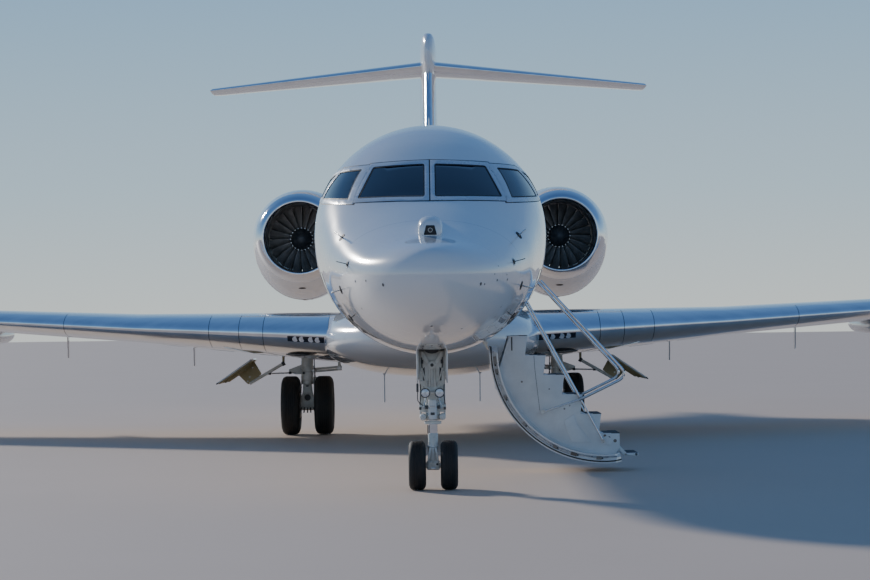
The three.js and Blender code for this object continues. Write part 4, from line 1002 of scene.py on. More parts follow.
def make_wing_seams():
    """Outlines of the spoilers above, and of the round and long hatches below."""
    seams = []
    front, back = SPOILER_SHARES
    for start, end in SPOILERS:
        shares = spaced(front, back, 6)
        outline = [(start, share) for share in shares] + [(end, share) for share in shares[::-1]]
        seams.append(wing_seam(outline, 1))
    turns = [2 * pi * i / 20 for i in range(20)]
    for x in spaced(5.1, 12.9, 12):
        chord = straight_row(WING, x)[2]
        seams.append(
            wing_seam([(x + 0.21 * cos(turn), 0.4 + 0.12 * sin(turn) / chord) for turn in turns], -1)
        )
    for x in (2.6, 3.3, 4.1):
        seams.append(wing_seam([(x + 0.2 * cos(turn), 0.33 + 0.022 * sin(turn)) for turn in turns], -1))
    pair("wing_seams", seams, "airframe", "panel_plastic", angle=30)


def make_landing_lamps():
    """Lamps behind a strip of glass under the leading edge."""
    patch = [
        [wing_at(x, share, -1, lift=-0.0015) for share in spaced(0.0006, 0.011, 14)]
        + [wing_at(x, share, -1, lift=0.012) for share in spaced(0.011, 0.0006, 14)]
        for x in spaced(1.56, 2.12, 12)
    ]
    lamps = []
    for x in LANDING_LAMPS:
        spot = wing_at(x, 0.0035, -1)
        lamps.append(
            rod(
                spot + Vector((0, 0.02, 0.004)), spot + Vector((0, -0.012, -0.008)), 0.036, lamp_glass,
                0.042, 32,
            )
        )
    pair("landing_light_glass", skin(patch, glass), "airframe", "dark_glass")
    pair("landing_lamps", lamps, "airframe", "chrome")


def make_wicks():
    for name, at, places, body in WICKS:
        wicks = []
        for x in places:
            root = at(x, 1, 0)
            ends = (root + Vector((0, -0.03, 0)), root + Vector((0, WICK_LENGTH, 0)))
            wicks.append(rod(*ends, 0.004, seal_black, 0.002, 8))
        pair(name, wicks, body, "panel_plastic")


def make_position_lights():
    for side, look in (("port", red_lens), ("starboard", green_lens)):
        lens = bar((13.40, -0.02, -0.018), (13.56, 0.06, 0.022), look, 0.012, 3)
        spot = wing_at(13.48, 0.0, 0)
        moved(lens, 0, spot.y + 0.005, spot.z)
        piece(f"position_light_{side}", lens if side == "port" else flipped(lens), "airframe", "dark_glass")


CANOE_X = 7.49
# station, half width, top, bottom, widest height, squareness
CANOE = [
    (16.15, 0.02, 1.68, 1.64, 1.66, 2.0),
    (16.35, 0.14, 1.76, 1.56, 1.65, 2.0),
    (16.9, 0.19, 1.85, 1.515, 1.65, 2.0),
    (17.9, 0.17, 1.83, 1.53, 1.67, 2.0),
    (18.9, 0.03, 1.74, 1.68, 1.71, 2.0),
]


# place along it, distance out, leading edge station, chord, height above the wing tip, cant
WINGLET = [
    (0, 13.552, 19.5, 1.33, 0.0, 0),
    (1, 13.82, 19.74, 1.15, 0.07, 28),
    (2, 14.04, 20.08, 0.96, 0.34, 62),
    (6, 14.295, 20.98, 0.48, 1.46, 77),
]


def make_winglet():
    tip = WING_Z + WING_SLOPE * WING_TIP
    ratio, twist = WING[-1][3:]
    rings = []

    def add_ring(x, lead, rise, chord, cant, swell=1.0):
        at = foil_at(x, lead, rise, chord, ratio, twist, cant)
        rings.append(panel_ring(lambda where, *rest: at(*rest), 0, 0, 1, swell=swell))
    for place in [*spaced(0, 2, 9), *spaced(2.4, 6, 8)]:
        _, x, lead, chord, rise, cant = smooth_row(WINGLET, place)
        add_ring(x, lead, tip + rise, chord, cant)
    _, x, lead, chord, rise, cant = WINGLET[-1]
    for t in (0.5, 0.8, 0.95, 1.0):
        add_ring(
            x + 0.003 * t, lead + 0.02 * t, tip + rise + 0.02 * t, chord - 0.02 * t, cant, sqrt(1 - t * t),
        )
    pair("winglet_skin", skin(rings, skin_paint), "airframe", "white_composite", "winglet_port")


RUDDER_SHARE = 0.7
RUDDER_Z = (4.65, 6.62)
RUDDER_ENDS = (0.046, 0.034)
ELEVATOR_SHARE = 0.68
ELEVATOR_X = (0.76, 4.56)
ELEVATOR_ENDS = (0.028, 0.012)
EDGE_SHARE = 0.07
TIP_ROUND = 0.06
# station, half width, top, bottom, widest height, squareness
BULLET = [
    (24.5, 0.0, 7.36, 7.36, 7.36, 2.0),
    (24.62, 0.09, 7.60, 7.08, 7.34, 2.3),
    (25.0, 0.155, 7.78, 6.90, 7.32, 2.7),
    (25.8, 0.178, 7.85, 6.81, 7.30, 2.9),
    (27.2, 0.174, 7.82, 6.82, 7.26, 2.7),
    (28.6, 0.11, 7.57, 6.96, 7.24, 2.3),
    (29.7, 0.025, 7.29, 7.20, 7.245, 2.0),
]


def make_tail():
    def edge(_):
        return EDGE_SHARE + 0.001

    rows = [(z, EDGE_SHARE, 1, FLAT) for z in (FIN[0][0], RUDDER_Z[0] - STEP)]
    rows += cove_rows(fin_at, RUDDER_Z, edge, RUDDER_SHARE)
    rows += [(z, EDGE_SHARE, 1, FLAT) for z in (RUDDER_Z[1] + STEP, FIN[-1][0])]
    piece("fin_skin", panel(fin_at, rows, skin_paint), "airframe", "white_paint", "fin", angle=30)
    strip = panel(fin_at, [(z, 0, EDGE_SHARE - 0.001) for z in spaced(FIN[0][0], FIN[-1][0], 4)], polished)
    piece("fin_leading_edge", strip, "airframe", "polished_metal", angle=30)
    rudder = hinged(fin_at, RUDDER_Z, RUDDER_SHARE, *RUDDER_ENDS, skin_paint)
    piece("rudder_skin", rudder, "rudder", "white_composite", "rudder")

    places = [BULLET[0][0] + (BULLET[-1][0] - BULLET[0][0]) * (i / 47) ** 2 for i in range(48)]
    bullet = skin([oval(smooth_row(BULLET, station), count=48) for station in places], skin_paint)
    piece("bullet_skin", bullet, "airframe", "white_composite", "fin_bullet")

    tip = TAILPLANE[-1][0]
    rows = [(x, EDGE_SHARE, 1, FLAT) for x in (0.1, ELEVATOR_X[0] - STEP)]
    rows += cove_rows(tail_at, ELEVATOR_X, edge, ELEVATOR_SHARE)
    rows += [(ELEVATOR_X[1] + STEP, EDGE_SHARE, 1, FLAT)]
    rows += round_tip([rows[-1], (tip, EDGE_SHARE, 1, FLAT)], TIP_ROUND)[1:]
    pair(
        "tailplane_skin", panel(tail_at, rows, skin_paint), "airframe", "white_paint", "tailplane_port",
        angle=30,
    )
    rows = round_tip([(x, 0, EDGE_SHARE - 0.001) for x in (0.1, 2.4, tip)], TIP_ROUND)
    pair("tailplane_leading_edge", panel(tail_at, rows, polished), "airframe", "polished_metal", angle=30)
    elevator = hinged(tail_at, ELEVATOR_X, ELEVATOR_SHARE, *ELEVATOR_ENDS, skin_paint)
    pair("elevator_skin", elevator, "elevator_port", "white_composite", "elevator_port", angle=30)


# Engines, each drawn about its own axis with its lip at zero

ENGINE_X = 2.39
ENGINE_Z = 3.38
ENGINE_Y = along(19.5)
FAN_BLADES = 20
CORE_VANES = 28
# distance back, radius, how much deeper the lower half is than round, as a share
COWL_OUTSIDE = [
    (0.262, 0.815, 0.0),
    (0.7, 0.890, 0.12),
    (1.3, 0.940, 0.19),
    (2.3, 0.930, 0.20),
    (3.5, 0.800, 0.12),
    (4.5, 0.615, 0.0),
]
# distance back, radius
DUCT = [(0.262, 0.615), (0.8, 0.622), (1.01, 0.625), (1.9, 0.66), (3.2, 0.64), (4.5, 0.59)]
LIP_OUTSIDE = [(0.0, 0.66), (0.035, 0.72), (0.14, 0.778), (0.26, 0.815)]
LIP_INSIDE = [(0.0, 0.66), (0.045, 0.632), (0.12, 0.621), (0.26, 0.615)]
ENGINE = (ENGINE_X, ENGINE_Y, ENGINE_Z)


def lip_curve(table, count):
    """Points (radius, distance) on a smooth curve through (distance, radius) rows, closest at the lip."""
    rows = [(sqrt(distance), radius) for distance, radius in table]
    return [(smooth_row(rows, place)[1], place ** 2) for place in spaced(0, rows[-1][0], count)]


def fan_blade(angle):
    """A wide blade, twisted from root to tip and swept, on the fan's own axis."""
    # radius, chord, pitch from the axis, thickness, shift back
    table = [
        (0.17, 0.15, 28, 0.018, 0.0), (0.32, 0.19, 40, 0.014, -0.012), (0.48, 0.21, 50, 0.010, 0.0),
        (0.6, 0.2, 57, 0.006, 0.03),
    ]
    rings = []
    for radius in spaced(0.17, 0.6, 9):
        _, chord, pitch, thick, shift = smooth_row(table, radius)
        chordwise = Vector((sin(radians(pitch)), cos(radians(pitch)), 0))
        over = Vector((chordwise.y, -chordwise.x, 0))
        ring = []
        for i in range(12):
            turn = 2 * pi * i / 12
            bow = 0.012 * (1 - cos(turn) ** 2)
            spot = Vector((0, 0.93 + shift, radius)) + chordwise * cos(turn) * chord / 2
            spot += over * (sin(turn) * thick / 2 + bow)
            ring.append(Matrix.Rotation(angle, 3, "Y") @ spot)
        rings.append(ring)
    return skin(rings, fan_metal)


def cowl_ring(distance, out=0.0, count=96):
    """The outside of the cowl at a distance back, grown by another."""
    _, radius, deeper = smooth_row(COWL_OUTSIDE, distance)
    ring = []
    for i in range(count):
        angle = 2 * pi * i / count
        aside, up = (radius + out) * cos(angle), (radius + out) * sin(angle)
        ring.append(Vector((aside, distance, up * (1 + deeper) if up < 0 else up)))
    return ring


def duct_ring(distance, inward=0.0, count=96):
    radius = smooth_row(DUCT, distance)[1] - inward
    return [
        Vector((radius * cos(2 * pi * i / count), distance, radius * sin(2 * pi * i / count)))
        for i in range(count)
    ]


# distance back of the seams round the cowl
COWL_SEAMS = (1.28, 3.05, 3.75)
COWL_SEAM_RADIUS = 0.0025
# distance out, leading edge station, chord, thickness ratio
PYLON = [(0.7, 20.15, 3.3, 0.1), (1.8, 20.15, 3.3, 0.1)]


def make_cowl_details():
    """Seams round the cowl, the split line of its doors, latches and inlets."""
    front, middle, _ = COWL_SEAMS
    parts = [seam(cowl_ring(place, 0.0006, 64), COWL_SEAM_RADIUS) for place in COWL_SEAMS]
    rings = [cowl_ring(place, 0.0006) for place in spaced(front, middle, 24)]
    for share in (0.27, 0.73):
        line = [ring[int(len(ring) * share)] for ring in rings]
        parts.append(seam(line, COWL_SEAM_RADIUS, False))
    for place in (1.5, 1.9, 2.3, 2.7):
        low = cowl_ring(place, 0.001)[72]
        parts.append(
            bar(
                (low.x - 0.03, low.y - 0.05, low.z - 0.004), (low.x + 0.03, low.y + 0.05, low.z + 0.004),
                steel, 0.004,
            )
        )
    for place in (3.2, 3.4, 3.6):
        side = cowl_ring(place, -0.004)[14]
        scoop = turned(
            [(0.0, 0.0), (0.02, 0.0), (0.035, 0.06), (0.03, 0.2), (0.0, 0.26)], skin_paint, side, steps=24,
            looped=False,
        )
        parts.append(scoop)
    # a thin black sheet in the opening under the cowl's front: painted shade of its dark inside
    places = spaced(0.3, 0.7, 12)
    rings = [cowl_ring(place, 0.0015) for place in places]
    rings += [cowl_ring(place, -0.01) for place in places[::-1]]
    patch = skin(rings, seal_black, looped=True)
    turns = spaced(0, 2 * pi * 23 / 24, 24)
    opening = [(0.07 * cos(turn) - 0.02, 0.014 * sin(turn) - 0.919) for turn in turns]
    parts.append(cut(patch, prism(opening, "xz", 0.2, 0.8), operation="INTERSECT"))
    nozzle = [(0.591, 4.44), (0.598, 4.5), (0.57, 4.5), (0.566, 4.44)]
    parts.append(turned(nozzle, core_metal, steps=96))
    pair("cowl_details", moved(joined(parts), *ENGINE), "airframe", "core_metal")


def make_engines():
    outside = lip_curve(LIP_OUTSIDE, 16)
    inside = lip_curve(LIP_INSIDE, 12)
    pair(
        "inlet_lip", moved(turned(outside[::-1] + inside[1:], polished, steps=96), *ENGINE), "airframe",
        "polished_metal", "nacelle_lip_port",
    )
    start, end = COWL_OUTSIDE[0][0], COWL_OUTSIDE[-1][0]
    rings = [cowl_ring(place) for place in spaced(start, end, 34)]
    rings += [duct_ring(place) for place in spaced(end, start, 24)]
    pair(
        "cowl", moved(skin(rings, skin_paint, looped=True), *ENGINE), "airframe", "white_composite",
        "nacelle_port",
    )
    rings = [duct_ring(place, 0.002) for place in spaced(start, end - 0.05, 30)]
    rings += [duct_ring(place, 0.005) for place in spaced(end - 0.05, start, 30)]
    pair("duct_lining", moved(skin(rings, liner, looped=True), *ENGINE), "airframe", "core_metal")
    make_cowl_details()
    make_fan()
    make_core()


def make_fan():
    cone = [
        (0.0, 0.6), (0.03, 0.604), (0.08, 0.64), (0.15, 0.73), (0.19, 0.80), (0.2, 0.85), (0.215, 0.86),
        (0.215, 1.01),
    ]
    spinner = turned(cone + [(0.064, 1.01), (0.0, 0.955)], plastic, looped=False)
    dots = []
    for i in range(FAN_BLADES):
        angle = 2 * pi * i / FAN_BLADES
        spot = Vector((0.205 * sin(angle), 0.852, 0.205 * cos(angle)))
        dots.append(
            rod(spot + Vector((0, -0.008, 0)), spot + Vector((0, 0.006, 0)), 0.011, lamp_glass, sides=10)
        )
    blades = [fan_blade(2 * pi * (i + 0.5) / FAN_BLADES) for i in range(FAN_BLADES)]
    pair("fan_rotor", moved(joined([spinner, *dots, *blades]), *ENGINE), "fan_port", "fan_metal", "fan_port")


def make_core():
    """The core's casing with its vanes, and the pylon."""
    body = [
        (0.0, 0.96), (0.06, 0.96), (0.06, 1.03), (0.37, 1.04), (0.43, 2.0), (0.40, 2.9), (0.34, 3.4),
        (0.2, 3.9), (0.06, 4.2), (0.0, 4.2),
    ]
    vanes = []
    for i in range(CORE_VANES):
        guide = bar((0.3, 1.2, -0.008), (0.655, 1.42, 0.008), core_metal, 0.005)
        guide.data.transform(Matrix.Rotation(2 * pi * i / CORE_VANES, 4, "Y"))
        vanes.append(guide)
    pair(
        "engine_core_casing", moved(joined([turned(body, core_metal, looped=False), *vanes]), *ENGINE),
        "airframe", "core_metal", "engine_core_port",
    )

    at = surface(PYLON, lambda row: foil_at(row[0], row[1], ENGINE_Z - 0.02, *row[2:], camber=0))
    rings = [panel_ring(at, x, 0, 1) for x in (0.9, 1.3, 1.7)]
    pair("pylon_skin", skin(rings, skin_paint), "airframe", "white_paint", "pylon_port")


# Small fittings on the hull

# station, half width, top, bottom, widest height, squareness
CAMERA_HUMP = [
    (0.80, 0.070, 2.745, 2.600, 2.660, 3.0),
    (0.81, 0.095, 2.775, 2.595, 2.670, 2.8),
    (0.85, 0.118, 2.810, 2.600, 2.680, 2.6),
    (0.96, 0.128, 2.850, 2.640, 2.720, 2.5),
    (1.25, 0.118, 2.862, 2.700, 2.760, 2.2),
    (1.60, 0.050, 2.870, 2.780, 2.820, 2.0),
]


def skin_frame(x, z):
    """The nose's skin straight behind a point seen from ahead: local X outwards, Y aft along it, Z across."""
    spot, beside, above = hull_front(x, z), hull_front(x + 0.01, z), hull_front(x, z + 0.01)
    out = (beside - spot).cross(above - spot).normalized()
    aft = (Vector((0, 1, 0)) - out * out.y).normalized()
    turn = Matrix((out, aft, out.cross(aft))).transposed().to_4x4()
    return Matrix.Translation(spot) @ turn


def on_skin(x, z, parts):
    """Parts drawn at the origin, put on the port side of the nose, or starboard for a negative x."""
    obj = joined(parts)
    obj.data.transform(skin_frame(abs(x), z))
    return flipped(obj) if x < 0 else obj


def pitot(look):
    arm = prism(
        [(-0.004, -0.035), (-0.004, 0.075), (0.095, 0.02), (0.108, -0.05), (0.092, -0.06)], "xy", -0.006,
        0.006, look,
    )
    tube_part = rod((0.1, -0.02, 0), (0.104, -0.19, 0), 0.0095, look, 0.007)
    return [eased(arm, 0.004), tube_part, rod((-0.01, 0, 0), (0.003, 0, 0), 0.045, seal_black)]


def vane(look):
    blade = prism(
        [(-0.01, -0.01), (0.10, 0.02), (0.112, 0.05), (0.10, 0.055), (-0.01, 0.045)], "xy", -0.004, 0.004,
        look,
    )
    return [
        eased(blade, 0.002), rod((-0.01, 0, 0), (0.008, 0, 0), 0.026, look),
        rod((-0.01, 0, 0), (0.002, 0, 0), 0.04, steel),
    ]


def port_plug(radius, look):
    return [
        rod((-0.01, 0, 0), (0.0025, 0, 0), radius, look),
        rod((-0.01, 0, 0), (0.0015, 0, 0), radius * 1.5, skin_paint),
    ]


def drain_mast(look):
    leg = prism([(-0.01, -0.02), (0.05, -0.01), (0.05, 0.03), (-0.01, 0.05)], "xy", -0.005, 0.005, look)
    return [eased(leg, 0.003), rod((0.05, 0.01, -0.04), (0.05, 0.01, 0.04), 0.008, look)]


# distance out from the middle and height of each fitting, starboard negative
PITOTS = [(0.92, 2.675), (-0.92, 2.675)]
LOWER_PITOTS = [(0.93, 2.15), (-0.93, 2.13)]
VANES = [(0.84, 2.383), (-0.84, 2.38)]
PORTS = [
    (0.486, 2.15, 0.017), (0.525, 2.148, 0.009), (0.655, 2.19, 0.012), (0.765, 2.2, 0.012),
    (-0.466, 2.152, 0.017), (-0.643, 2.2, 0.011), (-0.755, 2.2, 0.012), (0.67, 2.33, 0.007),
    (0.63, 2.25, 0.007), (0.76, 2.25, 0.007), (0.30, 1.715, 0.009), (0.70, 1.93, 0.008),
    (0.64, 1.83, 0.008), (-0.70, 1.93, 0.008), (0.0001, 1.745, 0.013),
]
DRAINS = [(0.8, 1.87), (-0.79, 1.87)]


def make_fittings():
    hump = skin(
        [oval(smooth_row(CAMERA_HUMP, station), count=40) for station in spaced(0.80, 1.60, 46)], skin_paint,
    )
    eased(hump, 0.012, 3, 60)
    window = prism(
        [(-0.066, 2.652), (0.066, 2.652), (0.042, 2.748), (-0.042, 2.748)], "xz", along(0.793), along(0.83),
        seal_black, 0.006,
    )
    lens = turned(
        [(0.0, 0.784), (0.012, 0.785), (0.018, 0.79), (0.018, 0.80), (0.0, 0.80)], glass,
        (0, -LENGTH / 2, 2.70), steps=32, looped=False,
    )
    rim = turned(
        [(0.018, 0.787), (0.023, 0.787), (0.023, 0.80), (0.018, 0.80)], steel, (0, -LENGTH / 2, 2.70),
        steps=32,
    )
    piece("camera_hump", hump, "airframe", "white_composite")
    piece("camera_window", [eased(window, 0.003), lens, rim], "airframe", "dark_glass")

    parts = [on_skin(x, z, pitot(steel)) for x, z in PITOTS + LOWER_PITOTS]
    parts += [on_skin(x, z, vane(plastic)) for x, z in VANES]
    parts += [on_skin(x, z, port_plug(radius, plastic)) for x, z, radius in PORTS]
    parts += [on_skin(x, z, drain_mast(plastic)) for x, z in DRAINS]
    piece("air_data_probes", parts, "airframe", "core_metal")
    make_seams()
    make_antennas()


def hull_outline(station_from, station_to, low, high, corner=0.09):
    """A closed rounded outline on the port side of the hull."""
    corners = [(station_from, low), (station_to, low), (station_to, high), (station_from, high)]
    path = []
    for i, (station, z) in enumerate(corners):
        before, after = Vector(corners[i - 1]), Vector(corners[(i + 1) % 4])
        here = Vector((station, z))
        start, end = (here + (side - here).normalized() * corner for side in (before, after))
        path += [start.lerp(here, t).lerp(here.lerp(end, t), t) for t in spaced(0, 1, 6)]
        path += [end.lerp(after, t) for t in (0.2, 0.4, 0.6)]
    return [hull_side(station, z, 0.0003) for station, z in path]


SEAM_STATIONS = (8.9, 16.9, 21.5, 24.2, 26.9)
# front and back station, lowest and highest point, and radius of the corners where it isn't the usual one
HATCHES = [(2.9, 3.5, 1.75, 2.35), (17.05, 17.95, 2.25, 3.05), (22.9, 23.5, 2.75, 3.15)]
STARBOARD_EXIT = (11.86, 12.74, 2.5, 3.45, 0.14)


def make_seams():
    seams = [seam(oval(hull_row(station), SEAM_RISE)) for station in SEAM_STATIONS]
    for hatch in HATCHES:
        port = seam(hull_outline(*hatch))
        seams += [port, twin(port)]
    seams.append(flipped(seam(hull_outline(*STARBOARD_EXIT), 0.0025)))
    piece("hull_seams", seams, "airframe", "panel_plastic")


# distance out, station, height, reach upwards, root chord, tip chord, sweep
ANTENNAS = [
    (0, 6.9, 4.09, 0.3, 0.22, 0.12, 0.1),
    (0, 13.4, 4.09, 0.3, 0.22, 0.12, 0.1),
    (0, 10.2, 4.09, 0.16, 0.16, 0.1, 0.05),
    (0, 7.4, 1.42, -0.28, 0.22, 0.12, 0.1),
    (0, 8.6, 1.42, -0.28, 0.22, 0.12, 0.1),
    (-0.35, 21.0, 1.92, -0.2, 0.18, 0.1, 0.1),
    (0.35, 21.0, 1.92, -0.2, 0.18, 0.1, 0.1),
]
# station, height, rise
BEACONS = [(12.0, 4.095, 0.075), (10.6, 1.03, -0.06)]
# radius, and height as a share of the rise
DOME = [(0.0, 1.0), (0.035, 0.93), (0.055, 0.6), (0.06, 0.0), (0.0, -0.2)]
OUTLET_MIDDLE = (0, -LENGTH / 2, 3.51)


def blade_antenna(x, station, z, reach, root, tip, sweep):
    """An upright blade, upwards, or downwards for a negative reach."""
    table = [(0, station, root, 0.11), (1, station + sweep, tip, 0.1)]
    at = surface(table, lambda row: foil_at(x, row[1], z + reach * row[0], *row[2:], cant=90, camber=0))
    rows = [(0, 0, 1), (0.9, 0, 1), (0.97, 0, 1, {"swell": 0.75}), (1, 0, 1, {"swell": 0.3})]
    return panel(at, rows, skin_paint)


def make_antennas():
    piece("antennas", [blade_antenna(*row) for row in ANTENNAS], "airframe", "white_composite")
    beacons = []
    for station, z, rise in BEACONS:
        dome = [(radius, z + rise * share) for radius, share in DOME]
        beacons.append(turned(dome, red_lens, (0, along(station), 0), "Z", 32, False))
    piece("beacons", beacons, "airframe", "panel_plastic")
    ring = [(0.095, 28.43), (0.125, 28.43), (0.12, 28.56), (0.098, 28.56)]
    ring = turned(ring, core_metal, OUTLET_MIDDLE, steps=48)
    dark = [(0.0, 28.40), (0.1, 28.40), (0.1, 28.55), (0.094, 28.55), (0.09, 28.42), (0.0, 28.42)]
    dark = turned(dark, liner, OUTLET_MIDDLE, steps=48, looped=False)
    piece("power_unit_exhaust", [ring, dark], "airframe", "core_metal")


# Airstair

LEAF_INNER = 1.245
STAIR_HALF = 0.330
STRINGER = 0.028
STEP_FIRST = (1.130, 1.615)
STEP_RUN = 0.215
STEP_RISE = 0.233
STEP_COUNT = 6
RISER_LEAN = 0.03
RAIL_PATH = [(1.290, 2.260), (2.235, 1.215), (2.272, 1.150), (2.225, 1.085), (1.750, 0.860)]
RAIL_PIVOT = (1.300, 0.715)
RAIL_OUT = 0.4
BRACE_OUT = 0.358
BRACE_PATH = [(1.120, 2.040), (1.742, 0.872), (2.010, 0.362)]
BRACE_PIVOT = BRACE_PATH[-1]
FOOT_PIVOT = (2.178, 0.300)
STRINGER_SEAM = [(1.205, 1.37), (1.215, 1.2), (1.262, 0.76), (1.262, 0.73)]
# x, height, radius
STRINGER_BOLTS = [
    (1.058, 1.07, 0.012), (1.557, 0.745, 0.011), (1.16, 1.45, 0.008), (1.38, 0.98, 0.008),
    (1.62, 0.78, 0.008), (2.08, 0.40, 0.014), (2.15, 0.36, 0.02), (2.03, 0.42, 0.016),
]
# share of the way along the leaf from its hinge, and the length of each latch
LATCHES = [(0.05, 0.09), (0.11, 0.05), (0.26, 0.05), (0.44, 0.05), (0.65, 0.05), (0.76, 0.07), (0.9, 0.06)]


# places of the two hinges along the sill, and the pitch and width of the lugs in each
HINGE_PLACES = (-0.30, 0.26)
LUG_PITCH = 0.041
LUG_WIDTH = 0.04


def door_band(radii, ys, angles, look, count=40):
    """A band along the closed door's round, between two radii and two depths."""
    corners = [(radii[0], ys[0]), (radii[1], ys[0]), (radii[1], ys[1]), (radii[0], ys[1])]
    return skin(
        [[door_point(radius, angle, y) for radius, y in corners] for angle in spaced(*angles, count)], look,
    )


def tread_nose(i):
    return (STEP_FIRST[0] + i * STEP_RUN, STEP_FIRST[1] - i * STEP_RISE)


def lowered_arc(radius, start, end, count):
    """Points (x, z) on a circle about the leaf's own middle once it is lowered, by degrees."""
    swing = radians(DOOR_OPEN)
    dx, dz = -DOOR_HINGE[0], CABIN_AXIS - DOOR_HINGE[1]
    middle = (
        DOOR_HINGE[0] + dx * cos(swing) + dz * sin(swing), DOOR_HINGE[1] - dx * sin(swing) + dz * cos(swing),
    )
    return [
        (middle[0] + radius * cos(radians(a)), middle[1] + radius * sin(radians(a)))
        for a in spaced(start, end, count)
    ]


def stair_outline():
    outline = [(STEP_FIRST[0] - STEP_RUN, STEP_FIRST[1])]
    for i in range(STEP_COUNT):
        x, z = tread_nose(i)
        last = i == STEP_COUNT - 1
        outline += [(x, z), (x - (0 if last else RISER_LEAN), z - STEP_RISE * (0.75 if last else 1))]
    return outline + lowered_arc(LEAF_INNER - 0.0005, -84, -170, 40)


LEAF_EDGE = -0.008


def leaf_fittings(leaf):
    """Cuts a groove along each edge of the leaf, and returns the rods and latches in it."""
    low, high = radians(DOOR_ANGLES[0] + 2.5), radians(DOOR_ANGLES[1] - 2.5)
    rim = (DOOR_TO - DOOR_FROM) / 2 + LEAF_EDGE
    fittings = []
    for side in (-1, 1):
        ys = sorted((DOOR_MIDDLE + side * (rim + 0.02), DOOR_MIDDLE + side * (rim - 0.022)))
        cut(leaf, door_band((1.262, 1.308), ys, (low, high), skin_paint))
        y = DOOR_MIDDLE + side * (rim - 0.011)
        fittings.append(
            tube([door_point(1.275, angle, y) for angle in spaced(low, high, 60)], 0.006, steel, False)
        )
        fittings.append(
            tube(
                [door_point(1.297, angle, y) for angle in spaced(low, high * 0.8, 50)], 0.004, steel, False,
            )
        )
        for share, size in LATCHES:
            angle = low + (high - low) * share
            turn = size / 2 / 1.28
            spread = sorted((y - side * 0.011, y + side * 0.009))
            fittings.append(door_band((1.266, 1.304), spread, (angle - turn, angle + turn), core_metal, 4))
            pin = door_point(1.285, angle + turn * 1.3, y)
            fittings.append(rod(pin, pin + Vector((0, side * 0.012, 0)), 0.012, plastic, sides=12))
    return fittings


def make_leaf():
    leaf = hull_shell(4.85, 5.86, 0, -0.1, skin_paint, 0.01)
    cut(leaf, door_sector(LEAF_EDGE, 0.105), operation="INTERSECT")
    fittings = leaf_fittings(leaf)
    seal = cut(
        hull_shell(4.85, 5.86, -0.014, -0.03, seal_black, 0.01), door_sector(-0.0035, 0.1095),
        operation="INTERSECT",
    )
    handle = door_band((1.337, 1.349), (DOOR_MIDDLE - 0.09, DOOR_MIDDLE + 0.09), (1.52, 1.55), skin_paint, 4)
    eased(handle, 0.004)
    piece("door_leaf", [swung(leaf), swung(handle)], "door", "white_paint", "door_shell")
    piece("door_seal", swung(seal), "door", "panel_plastic")
    hinges = []
    for y in HINGE_PLACES:
        spot = Vector((DOOR_HINGE[0], DOOR_MIDDLE + y, DOOR_HINGE[1]))
        for start in (0, -LUG_PITCH, LUG_PITCH):
            lug = spot + Vector((0, start, 0))
            hinges.append(rod(lug, lug + Vector((0, LUG_WIDTH, 0)), 0.024, gear_white, sides=32))
            if start:
                arm = (lug + Vector((0, 0.018, 0)), lug + Vector((0.035, 0.018, -0.078)))
                hinges.append(rod(*arm, 0.010, gear_white))
    piece("door_hinges", [*hinges, swung(joined(fittings))], "door", "core_metal")


def across(outline, low, high, look, corner=0.0):
    """An outline in the plane of the stringers, between two distances from the middle of the stairs."""
    return prism(outline, "xz", DOOR_MIDDLE + low, DOOR_MIDDLE + high, look, corner)


def cross_rod(spot, half, radius, look):
    """A bar across the stairs, as far on both sides of their middle."""
    x, z = spot
    return rod((x, DOOR_MIDDLE - half, z), (x, DOOR_MIDDLE + half, z), radius, look)


def make_stairs():
    face = STAIR_HALF
    outline = stair_outline()
    sides = []
    for low in (-face, face - STRINGER):
        sides.append(eased(across(outline, low, low + STRINGER, lining), 0.003))
    inside = face - STRINGER / 2
    treads, grips, noses = [], [], []
    for i in range(STEP_COUNT):
        x, z = tread_nose(i)
        tread = block(
            (x - STEP_RUN - 0.012, DOOR_MIDDLE - inside, z - 0.026), (x, DOOR_MIDDLE + inside, z), lining,
        )
        treads.append(eased(tread, 0.006))
        grips.append(
            bar(
                (x - STEP_RUN + 0.03, DOOR_MIDDLE - 0.285, z - 0.002),
                (x - 0.045, DOOR_MIDDLE + 0.285, z + 0.002), grip, 0.001,
            )
        )
        noses.append(
            bar(
                (x - 0.10, DOOR_MIDDLE - face - 0.001, z - 0.004),
                (x + 0.003, DOOR_MIDDLE + face + 0.001, z + 0.0035), grip, 0.002,
            )
        )
        if i < STEP_COUNT - 1:
            foot = (x - RISER_LEAN, z - STEP_RISE)
            riser = [(x - 0.014, z - 0.01), (x - 0.002, z - 0.01), foot, (foot[0] - 0.014, foot[1])]
            treads.append(eased(across(riser, -inside, inside, lining), 0.003))
            light = block(
                (x - 0.03, DOOR_MIDDLE - 0.06, z - 0.075), (x - 0.004, DOOR_MIDDLE + 0.06, z - 0.055),
                lamp_glass,
            )
            treads.append(eased(light, 0.002))
    piece("stair_sides", sides + treads, "door", "door_lining", "airstair_steps")
    piece("stair_grips", grips + noses, "door", "tyre")


